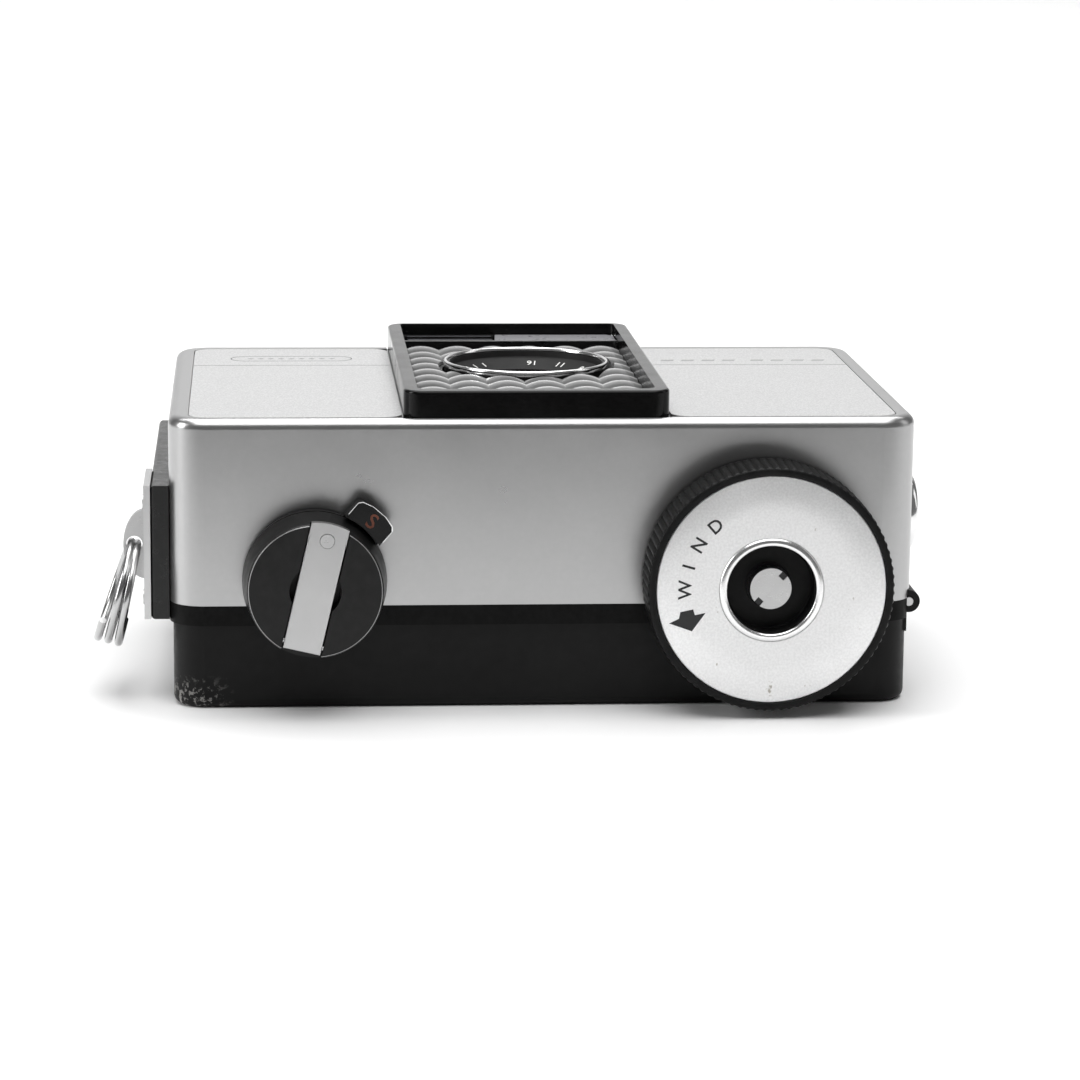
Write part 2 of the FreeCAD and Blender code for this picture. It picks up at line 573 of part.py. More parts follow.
def crank_bar(width, thickness, top_y, low, high):
    half = width / 2
    bar = Part.makeBox(width, thickness, high - half - low, FreeCAD.Vector(-half, top_y, low))
    end = Part.makeCylinder(half, thickness, FreeCAD.Vector(0, top_y, high - half),
                            FreeCAD.Vector(0, 1, 0))
    return bar.fuse(end).removeSplitter()


def rounded_where(shape, radius, wanted):
    """Round the edges whose middle point is wanted."""
    picked = []
    for edge in shape.Edges:
        middle = edge.valueAt((edge.FirstParameter + edge.LastParameter) / 2)
        if edge.Length > 0.01 and wanted(middle):
            picked.append(edge)
    return shape.makeFillet(radius, picked)


def y_rod(radius, low, high, z):
    return Part.makeCylinder(radius, high - low, FreeCAD.Vector(0, low, z), FreeCAD.Vector(0, 1, 0))


def x_rod(radius, half, y, z):
    return Part.makeCylinder(radius, 2 * half, FreeCAD.Vector(-half, y, z), FreeCAD.Vector(1, 0, 0))


def rewind_knob():
    front, back = number("rewind_front"), number("rewind_back")
    hinge, stud = number("crank_hinge"), number("crank_stud")
    width, thick = number("crank_width"), number("crank_thickness")
    outer = front - 0.05
    middle = outer + thick / 2
    head = Part.makeCone(number("rewind_front_radius"), number("rewind_back_radius"), back - front,
                         FreeCAD.Vector(0, front, 0), FreeCAD.Vector(0, 1, 0))
    head = rounded_where(head, 0.35, lambda spot: abs(spot.y - front) < 0.01)
    slot = Part.makeBox(width + 0.3, thick + 0.15, 20,
                        FreeCAD.Vector(-width / 2 - 0.15, front - 0.05, -10))
    head = head.cut(slot)
    head = head.cut(y_rod(2.9, front - 1, front + 2.5, 0))
    head = head.cut(y_rod(1.45, front, front + 4.2, stud))
    head = head.cut(x_rod(1.15, width / 2 + 0.15, middle, hinge))
    head = head.cut(x_rod(0.3, 2.9, middle, hinge))
    head = head.cut(y_rod(number("rewind_shaft_radius") + 0.02, back - 1.8, back + 1, 0))
    node(on_knob(head), "rewind_knob")
    node(on_knob(x_rod(0.28, 2.8, middle, hinge)), "crank_hinge_pin")
    bar = crank_bar(width, thick, outer, hinge - 0.8, 7.75)
    bar = rounded_where(bar, 0.18, lambda spot: abs(spot.y - outer) < 0.01)
    bar = bar.cut(x_rod(0.32, 4, middle, hinge)).cut(y_rod(0.85, outer - 1, outer + 2, stud))
    node(on_knob(bar), "rewind_crank")
    rivet = y_rod(0.8, outer - 0.1, outer + thick + 0.1, stud)
    grip = y_rod(1.15, outer + thick + 0.05, outer + thick + 2.9, stud)
    node(on_knob(rivet.fuse(grip)), "crank_stud")
    shaft = fuse(rod("Y", REWIND, ("rewind_back - 1.7", "-19"), "rewind_shaft_radius"),
                 box(("rewind_x - 1.7", "rewind_x + 1.7"), ("-19", "-15"),
                     ("rewind_z - 0.5", "rewind_z + 0.5")))
    node(shaft, "rewind_shaft")


def back_lock():
    """The lever under the rewind knob and the slide that it draws."""
    gap = 0.1
    back = number("rewind_back")
    washer = y_rod(number("lever_radius"), back + 0.3, number("knob_back") - gap, 0)
    sleeve = y_rod(3.0, back + 0.3, -23.0, 0)
    tab = Part.makeBox(5.0, 3.1, 3.0, FreeCAD.Vector(-2.5, -31.0, 8.5 - 0.9))
    tab = rounded_where(tab, 0.9, lambda spot: spot.z > 10.5 and abs(abs(spot.x) - 2.5) < 0.01
                        and abs(spot.y + 29.45) < 0.1)
    tab = tab.cut(y_rod(8.5, -32, back + 0.3, 0))
    lever = washer.fuse(sleeve).fuse(tab).cut(y_rod(2.0, -32, -20, 0))
    spin = FreeCAD.Rotation(FreeCAD.Vector(0, 1, 0), 90 - number("lever_angle"))
    node(free_shape(lever.removeSplitter(), (number("rewind_x"), 0, number("rewind_z")), spin),
         "back_lock_lever")
    depth = ("-24.9", "-24.3")
    slide = fuse(box(("-39.2", "-30.9"), depth, ("13", "14.4")),
                 box(("-39.2", "-38.6"), depth, ("6.4", "13.5")))
    node(slide, "latch_slide")


# ---------------------------------------------------------------- sides and top

def strap_side():
    wall = "-half_width"
    face = "-half_width - panel_thickness"
    panel = box((face, wall), ("panel_low", "panel_high"), ("panel_base", "panel_top"))
    doc.recompute()
    eased = doc.addObject("Part::Fillet", "Eased")
    eased.Base = panel
    outer = number(face)
    eased.Edges = [(i + 1, 0.5, 0.5) for i, edge in enumerate(panel.Shape.Edges)
                   if abs(edge.BoundBox.XMax - outer) < 0.001]
    node(eased, "side_panel")
    outside = "-half_width - panel_thickness - lug_plate_thickness"
    node(box((outside, face), ("panel_low", "lug_plate_high"), ("panel_base", "panel_top")),
         "lug_plate")
    x = number(outside)
    lug_z, lug_y, reach = number("lug_z"), number("lug_y"), number("lug_reach")
    y_axis = FreeCAD.Vector(0, 1, 0)
    eye = FreeCAD.Vector(x - 1.25, lug_y - 0.6, lug_z)
    tab = Part.makeCylinder(4.0, 1.2, FreeCAD.Vector(0, 0, 0), y_axis)
    squash = FreeCAD.Matrix()
    squash.scale(reach / 4.0, 1.0, 1.0)
    tab = tab.transformGeometry(squash)
    tab.translate(FreeCAD.Vector(x, lug_y - 0.6, lug_z))
    inside = Part.makeBox(10, 4, 20, FreeCAD.Vector(x, lug_y - 2, lug_z - 10))
    tab = tab.cut(inside).cut(Part.makeCylinder(0.95, 4, eye - y_axis, y_axis))
    node(free_shape(tab), "strap_lug")
    node(split_ring(eye), "split_ring")
    spots = [("lug_y - 4", "panel_base + 2.2"), ("lug_y - 4", "panel_top - 2.2"),
             ("lug_y + 3.2", "panel_base + 2.2"), ("lug_y + 3.2", "panel_top - 2.2")]
    heads = [rod("X", spot, ("%s - 0.15" % outside, outside), "0.9") for spot in spots]
    node(fuse(*heads), "lug_rivets")


def split_ring(eye):
    """Two wire turns side by side, hanging from the lug's eye and leaning outward."""
    radius, wire = number("split_ring_radius"), number("ring_wire") / 2
    tilt = math.radians(number("ring_tilt"))
    hang = FreeCAD.Vector(-math.sin(tilt), 0, -math.cos(tilt))
    normal = FreeCAD.Vector(math.cos(tilt), 0, -math.sin(tilt))
    top = FreeCAD.Vector(eye.x, number("lug_y"), eye.z)
    centre = top + hang * radius
    first = Part.makeTorus(radius, wire, centre - normal * wire * 0.95, normal)
    second = Part.makeTorus(radius, wire, centre + normal * wire * 0.95, normal)
    return free_shape(first.fuse(second))


def sync_socket():
    wall = "half_width"
    reach = "half_width + socket_reach"
    collar = tube("X", SOCKET, (wall, reach), "socket_radius", "3")
    body = tube("X", SOCKET, ("half_width - 3", wall), "3.55", "3")
    floor = rod("X", SOCKET, ("half_width - 3", "half_width - 2"), "3.2")
    pin_hole = rod("X", SOCKET, ("half_width - 4", wall), "0.75")
    node(cut(fuse(collar, body, floor), pin_hole), "sync_socket")
    node(rod("X", SOCKET, ("half_width - 3", "half_width + 0.6"), "0.74"), "sync_pin")


def shutter_release():
    collar = fuse(tube("Y", BUTTON, ("24.95", "half_height"), "4", "button_radius + 0.1"),
                  tube("Y", BUTTON, ("24.95", "25.4"), "4", "1.3"))
    node(collar, "button_collar")
    cap = rod("Y", BUTTON, ("27.4", "button_top"), "button_radius")
    stem = rod("Y", BUTTON, ("14", "27.4"), "1.25")
    dish = rod("Y", BUTTON, ("button_top - 0.4", "button_top + 0.1"), "1.2", "2.3")
    node(cut(fuse(cap, stem), dish), "shutter_button")
    node(button_spring(), "button_spring")


def button_spring():
    """A short wire helix round the stem, under the collar."""
    x, z = number("button_x"), number("button_z")
    coil, wire_radius = 1.72, 0.15
    helix = Part.makeHelix(1.3, 6.0, coil)
    start = FreeCAD.Vector(coil, 0, 0)
    section = Part.Wire(Part.makeCircle(wire_radius, start, FreeCAD.Vector(0, 1, 0)))
    wire = Part.Wire(helix.Edges).makePipeShell([section], True, True)
    return along_y(wire, x, 18.4, z)


def chassis_screws():
    pieces = []
    for spot in SCREW_SPOTS:
        head = rod("Z", spot, ("band_bottom - 0.8", "band_bottom"), "1.1")
        shank = rod("Z", spot, ("band_bottom", "band_top + 5"), "0.6")
        pieces.append(fuse(head, shank))
    node(fuse(*pieces), "chassis_screws")


def check_and_write():
    doc.recompute()
    for thing in doc.Objects:
        if "Invalid" in thing.State or "Error" in thing.State:
            raise RuntimeError("%s failed: %s" % (thing.Label, thing.State))
    os.makedirs("parts", exist_ok=True)
    for part in NODES:
        shape = part.Shape
        if shape.isNull() or not shape.isValid() or shape.Volume <= 0:
            raise RuntimeError(part.Label + " has no valid solid")
        shape.exportStep("parts/%s.step" % part.Label)
        print("%-20s %2d solids %9.1f mm3" % (part.Label, len(shape.Solids), shape.Volume))
    print(len(NODES), "nodes")


front_housing()
film_chassis()
back_cover()
face_plates()
lens_bezel()
meter_and_finder()
shutter()
lens_group()
wind_knob()
winding_train()
film_transport()
pressure_plate()
rewind_knob()
back_lock()
strap_side()
sync_socket()
shutter_release()
chassis_screws()
check_and_write()
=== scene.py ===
import bmesh
import bpy
import json
import math
from mathutils import Matrix, Vector


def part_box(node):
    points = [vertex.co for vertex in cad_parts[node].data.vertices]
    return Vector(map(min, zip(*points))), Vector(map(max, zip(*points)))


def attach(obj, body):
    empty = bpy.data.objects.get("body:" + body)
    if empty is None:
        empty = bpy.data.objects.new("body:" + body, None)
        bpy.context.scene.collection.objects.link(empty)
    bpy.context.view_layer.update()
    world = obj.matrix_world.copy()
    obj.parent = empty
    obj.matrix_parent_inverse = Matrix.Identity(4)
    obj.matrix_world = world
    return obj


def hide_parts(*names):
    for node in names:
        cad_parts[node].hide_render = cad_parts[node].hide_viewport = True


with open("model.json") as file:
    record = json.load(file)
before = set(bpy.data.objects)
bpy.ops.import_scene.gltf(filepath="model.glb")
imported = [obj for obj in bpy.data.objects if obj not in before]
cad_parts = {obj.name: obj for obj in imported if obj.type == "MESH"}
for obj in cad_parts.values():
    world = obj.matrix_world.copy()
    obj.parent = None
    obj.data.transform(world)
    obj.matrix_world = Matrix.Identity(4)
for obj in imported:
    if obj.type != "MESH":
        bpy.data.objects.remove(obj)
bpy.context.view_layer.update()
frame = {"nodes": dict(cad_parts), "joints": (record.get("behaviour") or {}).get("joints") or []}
NODES = frame["nodes"]
MM = 0.001

# ---------------------------------------------------------------- places, from the frame

def span(node):
    """A node's lowest and highest corners, in millimetres."""
    low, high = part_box(node)
    return Vector(low) / MM, Vector(high) / MM


def middle(node):
    low, high = span(node)
    return (low + high) / 2


def joint(name):
    return [j for j in frame["joints"] if j["name"] == name][0]


def pivot(name):
    return Vector(joint(name)["pos_m"]) / MM


WIND = pivot("wind_knob_turn")
REWIND = pivot("rewind_knob_turn")
LENS = pivot("aperture_ring_turn")
EYE = pivot("split_ring_swing")
HOUSING_LOW, HOUSING_HIGH = span("front_housing")
WINDOW_LOW, WINDOW_HIGH = span("selenium_window")
CRANK_ANGLE = math.radians(13)
LEVER_ANGLE = math.radians(49)

# ---------------------------------------------------------------- node helpers

class Nodes:
    """Short names for building one material's node tree."""

    def __init__(self, name):
        self.material = bpy.data.materials.new(name)
        self.material.use_nodes = True
        self.tree = self.material.node_tree
        self.shader = self.tree.nodes["Principled BSDF"]

    def add(self, kind, inputs=None, **settings):
        made = self.tree.nodes.new("ShaderNode" + kind)
        for key, value in settings.items():
            setattr(made, key, value)
        for key, value in (inputs or {}).items():
            self.plug(made.inputs[key], value)
        return made

    def plug(self, socket, value):
        if isinstance(value, bpy.types.NodeSocket):
            self.tree.links.new(value, socket)
        elif isinstance(value, bpy.types.Node):
            self.tree.links.new(value.outputs[0], socket)
        else:
            socket.default_value = value

    def place(self, stretch=(1, 1, 1)):
        coords = self.add("TexCoord").outputs["Object"]
        return self.add("Mapping", {"Vector": coords, "Scale": stretch})

    def noise(self, scale, detail=3.0, rough=0.5, stretch=(1, 1, 1)):
        made = self.add("TexNoise", {"Vector": self.place(stretch), "Scale": scale,
                                     "Detail": detail, "Roughness": rough})
        return made.outputs["Fac"]

    def ramp(self, value, stops):
        made = self.add("ValToRGB", {"Fac": value})
        band = made.color_ramp
        while len(band.elements) < len(stops):
            band.elements.new(0.5)
        for element, (where, colour) in zip(band.elements, stops):
            element.position = where
            element.color = shade(colour)
        return made.outputs["Color"]

    def math(self, operation, first, second=0.0, clamp=False):
        made = self.add("Math", operation=operation, use_clamp=clamp)
        self.plug(made.inputs[0], first)
        self.plug(made.inputs[1], second)
        return made.outputs[0]

    def mix(self, share, first, second):
        made = self.add("Mix", data_type="RGBA")
        self.plug(made.inputs["Factor"], share)
        self.plug(made.inputs["A"], first if is_link(first) else shade(first))
        self.plug(made.inputs["B"], second if is_link(second) else shade(second))
        return made.outputs["Result"]

    def axis(self, name):
        made = self.add("SeparateXYZ", {"Vector": self.add("TexCoord").outputs["Object"]})
        return made.outputs[name]

    def bump(self, height, strength, distance):
        made = self.add("Bump", {"Height": height, "Strength": strength, "Distance": distance})
        self.plug(self.shader.inputs["Normal"], made.outputs["Normal"])

    def set(self, **values):
        for key, value in values.items():
            self.plug(self.shader.inputs[key.replace("_", " ")], value)
        return self


def is_link(value):
    return isinstance(value, bpy.types.NodeSocket)


def shade(value):
    """A grey or a colour as four numbers."""
    if isinstance(value, (int, float)):
        return (value, value, value, 1.0)
    return (*value[:3], 1.0)


# ---------------------------------------------------------------- materials

def satin_aluminium():
    """The housing: pressed aluminium under a clear satin finish, faintly mottled and grained."""
    n = Nodes("housing_aluminium")
    cloud = n.noise(90, detail=5, rough=0.65)
    fine = n.noise(2600, detail=2)
    grain = n.noise(1500, detail=3)
    tone = n.ramp(cloud, [(0.0, 0.39), (1.0, 0.50)])
    colour = n.mix(n.math("MULTIPLY", grain, 0.4), tone, 0.38)
    rough = n.ramp(cloud, [(0.0, 0.24), (1.0, 0.35)])
    n.set(Base_Color=colour, Metallic=1.0, Roughness=rough)
    n.bump(fine, 0.12, 0.00002)
    return n.material


def face_aluminium():
    """The front plates: fine sandblasted aluminium with a tiny bright sparkle."""
    n = Nodes("face_aluminium")
    grit = n.noise(5200, detail=2)
    cloud = n.noise(140, detail=4)
    spark = n.ramp(grit, [(0.45, 0.58), (0.62, 0.74)])
    colour = n.mix(n.math("MULTIPLY", cloud, 0.35), spark, 0.6)
    n.set(Base_Color=colour, Metallic=1.0, Roughness=0.46)
    n.bump(grit, 0.35, 0.00003)
    return n.material


def black_plastic(name, rough, ior, worn=False):
    """Moulded black plastic with a fine satin skin."""
    n = Nodes(name)
    skin = n.noise(900, detail=4, rough=0.6)
    mottled = n.noise(60, detail=3)
    base = n.ramp(mottled, [(0.3, 0.003), (0.75, 0.006)])
    n.set(Roughness=n.ramp(skin, [(0.3, rough - 0.06), (0.7, rough + 0.08)]), IOR=ior)
    if worn:
        base = n.mix(edge_wear(n), base, (0.5, 0.49, 0.47))
    n.set(Base_Color=base)
    n.bump(skin, 0.16, 0.00003)
    return n.material


def edge_wear(n):
    """Chips on the cover's lower rim, at its strap-side front corner."""
    low = n.ramp(n.axis("Z"), [(0.0004, 1.0), (0.0008, 0.0)])
    side = n.ramp(n.math("MULTIPLY", n.axis("X"), -1.0), [(0.037, 0.0), (0.0405, 1.0)])
    front = n.ramp(n.math("MULTIPLY", n.axis("Y"), -1.0), [(0.019, 0.0), (0.026, 1.0)])
    chips = n.ramp(n.noise(1300, detail=6, rough=0.7), [(0.54, 0.0), (0.58, 1.0)])
    corner = n.math("MULTIPLY", side, front)
    return n.math("MULTIPLY", n.math("MULTIPLY", low, corner), chips, clamp=True)


def gloss_black(name, rough, ior=1.3):
    """Smooth black plastic or lacquer under a little dust."""
    n = Nodes(name)
    dust = n.noise(1800, detail=3)
    n.set(Base_Color=n.ramp(dust, [(0.35, 0.002), (0.8, 0.005)]),
          Roughness=n.ramp(n.noise(240, detail=4), [(0.3, rough), (0.8, rough + 0.12)]), IOR=ior)
    n.bump(n.noise(500, detail=2), 0.05, 0.00002)
    return n.material


def anodised_black(name="anodised_black", rough=0.33, ior=1.3):
    """Black anodised metal: a fine even skin with a soft sheen."""
    n = Nodes(name)
    mottled = n.noise(700, detail=4)
    n.set(Base_Color=n.ramp(mottled, [(0.3, 0.006), (0.75, 0.012)]), IOR=ior,
          Roughness=n.ramp(mottled, [(0.3, rough - 0.05), (0.8, rough + 0.07)]))
    n.bump(n.noise(2400, detail=2), 0.1, 0.00002)
    return n.material


RING_RADIANS_PER_METRE = 42000.0


def spun_silver():
    """The wind knob's face: matte silver with faint rings and a few dark specks."""
    n = Nodes("spun_silver")
    x = n.math("SUBTRACT", n.axis("X"), WIND.x * MM)
    z = n.math("SUBTRACT", n.axis("Z"), WIND.z * MM)
    radius = n.math("SQRT", n.math("ADD", n.math("MULTIPLY", x, x), n.math("MULTIPLY", z, z)))
    rings = n.math("SINE", n.math("MULTIPLY", radius, RING_RADIANS_PER_METRE))
    grain = n.noise(3800, detail=2)
    specks = n.ramp(n.noise(650, detail=3, rough=0.6), [(0.70, 0.0), (0.75, 0.8)])
    silver = n.ramp(grain, [(0.35, 0.80), (0.7, 0.90)])
    n.set(Base_Color=n.mix(specks, silver, (0.34, 0.31, 0.26)), Metallic=0.7,
          Roughness=n.ramp(n.noise(200, detail=3), [(0.3, 0.40), (0.8, 0.50)]))
    n.bump(n.math("ADD", n.math("MULTIPLY", rings, 0.3), grain), 0.18, 0.00002)
    return n.material


def bright_metal(name, colour, rough, scratch=(1, 1, 1)):
    """Polished or ground metal with light scratches."""
    n = Nodes(name)
    lines = n.noise(1500, detail=4, rough=0.7, stretch=scratch)
    n.set(Base_Color=n.ramp(n.noise(300, detail=3), [(0.1, colour * 0.9), (0.9, colour)]),
          Metallic=1.0, Roughness=n.ramp(lines, [(0.1, rough), (0.9, rough + 0.16)]))
    n.bump(lines, 0.06, 0.00002)
    return n.material


def brass():
    """Cut gear brass, slightly tarnished in patches."""
    n = Nodes("cut_brass")
    tarnish = [(0.3, (0.62, 0.42, 0.16)), (0.75, (0.78, 0.57, 0.26))]
    n.set(Base_Color=n.ramp(n.noise(500, detail=4), tarnish), Metallic=1.0,
          Roughness=n.ramp(n.noise(1500), [(0.3, 0.22), (0.8, 0.4)]))
    n.bump(n.noise(2500), 0.1, 0.00002)
    return n.material


def clear_glass():
    """Window glass with the faintest smears."""
    n = Nodes("clear_glass")
    n.set(Base_Color=shade((0.93, 0.95, 0.96)), Transmission_Weight=1.0, IOR=1.49,
          Roughness=n.ramp(n.noise(700, detail=3), [(0.4, 0.02), (0.9, 0.07)]))
    return n.material


def moulded_clear():
    """The bubble window: clear plastic domes, grey where they face the eye, with a painted highlight
    near white where they turn away.
    """
    n = Nodes("bubble_plastic")
    facing = n.add("LayerWeight", {"Blend": 0.5}).outputs["Facing"]
    cloud = n.noise(800, detail=3)
    # The base colour follows the facing: a painted highlight lightens each dome's edges towards
    # white.
    n.set(Base_Color=n.ramp(facing, [(0.35, 0.10), (0.72, 0.25), (0.97, 0.95)]),
          Roughness=n.ramp(cloud, [(0.3, 0.07), (0.8, 0.15)]), Transmission_Weight=0.35, IOR=1.42)
    return n.material


def coated_glass():
    """The taking lens: dark glass under a purple and amber coating."""
    n = Nodes("coated_glass")
    tone = n.add("LayerWeight", {"Blend": 0.35}).outputs["Facing"]
    n.set(Base_Color=n.ramp(tone, [(0.1, (0.035, 0.008, 0.02)), (0.7, (0.09, 0.02, 0.05))]),
          Roughness=n.ramp(n.noise(900), [(0.3, 0.02), (0.9, 0.06)]), IOR=1.7)
    n.shader.inputs["Coat Weight"].default_value = 1.0
    n.shader.inputs["Coat Tint"].default_value = (0.75, 0.35, 0.8, 1)
    return n.material


def selenium():
    """The meter cell: a grey plate whose upper skin glints in bands."""
    n = Nodes("selenium_cell")
    bands = n.noise(260, detail=4, stretch=(1, 5, 1))
    n.set(Base_Color=n.ramp(bands, [(0.3, (0.16, 0.165, 0.17)), (0.7, (0.36, 0.37, 0.38))]),
          Metallic=0.6, Roughness=n.ramp(bands, [(0.3, 0.25), (0.7, 0.42)]))
    n.bump(n.noise(1500), 0.1, 0.00003)
    return n.material


def paint(name, colour, rough=0.5):
    """Filled lettering and printed marks, slightly uneven like real ink; also flat plates of painted
    shade in the screw's notches and the painted reflection on the finder's pane.
    """
    n = Nodes(name)
    light = tuple(c * 1.25 for c in colour)
    n.set(Base_Color=n.ramp(n.noise(3000, detail=3), [(0.3, colour), (0.8, light)]),
          Roughness=n.ramp(n.noise(900), [(0.3, rough), (0.8, rough + 0.15)]))
    n.bump(n.noise(4000), 0.1, 0.00001)
    return n.material


def felt():
    """The light seal's black felt."""
    n = Nodes("felt_strip")
    fluff = n.noise(2500, detail=6, rough=0.8)
    n.set(Base_Color=n.ramp(fluff, [(0.3, 0.008), (0.8, 0.03)]), Roughness=0.95)
    n.bump(fluff, 0.7, 0.0001)
    return n.material


M = {
    "housing": satin_aluminium(),
    "grip": anodised_black("knob_grip_black", 0.40, 1.2),
    "funnel": anodised_black("funnel_black", 0.6),
    "lip": bright_metal("polished_lip", 0.86, 0.16),
    "ring": bright_metal("ring_wire_steel", 0.50, 0.14),
    "plated": bright_metal("plated_steel", 0.60, 0.28),
    # A flat grey plate as painted reflection on the finder's front pane.
    "pane": paint("pane_painted_reflection", (0.20, 0.20, 0.21), 0.25),
    # Bright metal for the rewind knob's rim: its worn edge and a painted highlight.
    "rim_wear_and_highlight": bright_metal("rim_wear_and_highlight", 0.34, 0.30),
    "sill": bright_metal("finder_sill", 0.42, 0.25),
    "face": face_aluminium(),
    "cover": black_plastic("cover_plastic", 0.42, 1.26, worn=True),
    "band": gloss_black("band_black", 0.30, 1.18),
    "panel": black_plastic("panel_plastic", 0.30, 1.42),
    "bezel": gloss_black("bezel_black", 0.10, 1.26),
    "anodised": anodised_black(),
    "inner": anodised_black("inner_black", 0.55),
    "silver": spun_silver(),
    "chrome": bright_metal("polished_chrome", 0.84, 0.07),
    "steel": bright_metal("ground_steel", 0.52, 0.22, (1, 1, 6)),
    "crank": bright_metal("crank_steel", 0.50, 0.24, (6, 1, 1)),
    "spring": bright_metal("spring_steel", 0.38, 0.25),
    "brass": brass(),
    "clear": clear_glass(),
    "bubble": moulded_clear(),
    "coated": coated_glass(),
    "selenium": selenium(),
    "lever": gloss_black("lever_black", 0.14),
    # Black ink for printed marks, also used as painted shade on the screw's notch floors.
    "black_ink_and_shade": paint("black_ink_and_shade", (0.012, 0.012, 0.013)),
    "white_ink": paint("white_ink", (0.72, 0.72, 0.70)),
    "orange_ink": paint("orange_ink", (0.12, 0.03, 0.012)),
    "grey_ink": paint("grey_ink", (0.10, 0.10, 0.11)),
    "soft_ink": paint("soft_ink", (0.30, 0.30, 0.30)),
    "white_disc": paint("counter_white", (0.62, 0.62, 0.58)),
    "felt": felt(),
}

NODE_FINISH = {
    "front_housing": "housing", "film_chassis": "band", "left_face_plate": "face",
    "right_face_plate": "face", "lens_bezel": "bezel", "selenium_cell": "selenium",
    "lens_collar": "anodised", "viewfinder_window": "clear", "viewfinder_tube": "inner",
    "viewfinder_lens": "clear", "galvanometer": "inner", "shutter_housing": "inner",
    "lens_barrel": "anodised", "front_lens": "coated", "rear_lens": "coated",
    "counter_window": "clear", "side_panel": "panel", "lug_plate": "plated",
    "strap_lug": "steel", "lug_rivets": "plated", "sync_socket": "chrome", "sync_pin": "brass",
    "button_collar": "chrome", "button_spring": "spring", "chassis_screws": "steel",
    "hinge_pin": "steel", "back_cover": "cover", "eyepiece_window": "clear",
    "light_seal": "felt", "pressure_spring": "spring", "pressure_plate": "inner",
    "wind_knob_ring": "anodised", "wind_knob_disc": "silver", "wind_knob_screw": "steel",
    "wind_arbor": "inner", "ratchet_wheel": "steel", "ratchet_pawl": "steel",
    "spring_barrel": "inner", "barrel_cap": "steel", "mainspring": "spring",
    "barrel_gear": "brass", "film_sprocket": "inner", "sprocket_gear": "brass",
    "frame_counter_disc": "white_disc", "rewind_knob": "anodised", "rewind_shaft": "steel",
    "crank_hinge_pin": "steel", "rewind_crank": "crank", "crank_stud": "steel",
    "back_lock_lever": "lever", "latch_slide": "steel", "shutter_button": "chrome",
    "lens_ring": "chrome", "aperture_scale": "anodised", "shutter_blade_a": "inner",
    "shutter_blade_b": "inner", "meter_needle": "steel",
}


def finish_nodes():
    for name, finish in NODE_FINISH.items():
        mesh = NODES[name].data
        mesh.materials.clear()
        mesh.materials.append(M[finish])


finish_nodes()

# ---------------------------------------------------------------- piece helpers

SHARP = math.radians(38)


def axes(centre, across, along, out):
    """A matrix from a part's own millimetres to the frame's millimetres."""
    turn = Matrix((across, along, out)).transposed().to_4x4()
    return Matrix.Translation(centre) @ turn


WIND_PLACE = axes((WIND.x, 0, WIND.z), (1, 0, 0), (0, 0, 1), (0, -1, 0))
LENS_PLACE = axes((LENS.x, LENS.y, 0), (1, 0, 0), (0, 1, 0), (0, 0, 1))
SOCKET_PLACE = axes((0, middle("sync_socket").y, middle("sync_socket").z),
                    (0, 1, 0), (0, 0, 1), (1, 0, 0))


def enlist(name, data, finish, body, replaced=()):
    """Make an object of a mesh in metres and let it ride on a body."""
    data.materials.clear()
    data.materials.append(M[finish])
    piece = bpy.data.objects.new(name, data)
    bpy.context.scene.collection.objects.link(piece)
    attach(piece, body)
    if replaced:
        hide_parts(*replaced)
    return piece


def make(name, mesh, finish, body, replaced=()):
    """Turn millimetres of bmesh into a piece."""
    bmesh.ops.recalc_face_normals(mesh, faces=mesh.faces)
    for face in mesh.faces:
        face.smooth = True
    for edge in mesh.edges:
        edge.smooth = edge.is_manifold and edge.calc_face_angle() < SHARP
    mesh.transform(Matrix.Scale(MM, 4))
    data = bpy.data.meshes.new(name)
    mesh.to_mesh(data)
    mesh.free()
    return enlist(name, data, finish, body, replaced)


def soften(outline, radius=0.15, steps=3):
    """The same outline with its corners rounded."""
    points = [Vector(point) for point in outline]
    made = [points[0]]
    for before, corner, after in zip(points, points[1:], points[2:]):
        back, ahead = before - corner, after - corner
        reach = min(radius, back.length * 0.45, ahead.length * 0.45)
        start = corner + back.normalized() * reach
        end = corner + ahead.normalized() * reach
        for i in range(steps + 1):
            t = i / steps
            made.append(start.lerp(corner, t).lerp(corner.lerp(end, t), t))
    return made + [points[-1]]


def lathe(outline, place, steps=120, ripple=None, loop=False):
    """Turn an outline of (radius, height) points about a place's own axis."""
    mesh = bmesh.new()
    rings = []
    for radius, height in outline:
        if radius < 0.0001:
            rings.append([mesh.verts.new(place @ Vector((0, 0, height)))])
            continue
        ring = []
        for i in range(steps):
            angle = math.tau * i / steps
            away = radius + (ripple(angle, radius, height) if ripple else 0.0)
            spot = Vector((away * math.cos(angle), away * math.sin(angle), height))
            ring.append(mesh.verts.new(place @ spot))
        rings.append(ring)
    pairs = list(zip(rings, rings[1:]))
    if loop:
        pairs.append((rings[-1], rings[0]))
    for low, high in pairs:
        for i in range(max(len(low), len(high))):
            j = (i + 1) % steps
            corners = (low[i % len(low)], low[j % len(low)],
                       high[j % len(high)], high[i % len(high)])
            distinct = list(dict.fromkeys(corners))
            if len(distinct) > 2:
                mesh.faces.new(distinct)
    return mesh


def evaluated_mesh(thing):
    """A new mesh of a curve, or of an object with its modifiers applied."""
    bpy.context.view_layer.update()
    graph = bpy.context.evaluated_depsgraph_get()
    return bpy.data.meshes.new_from_object(thing.evaluated_get(graph))


def curve_mesh(curve):
    """Turn a curve into a mesh and remove the curve."""
    holder = bpy.data.objects.new(curve.name, curve)
    bpy.context.scene.collection.objects.link(holder)
    data = evaluated_mesh(holder)
    bpy.data.objects.remove(holder)
    bpy.data.curves.remove(curve)
    return data


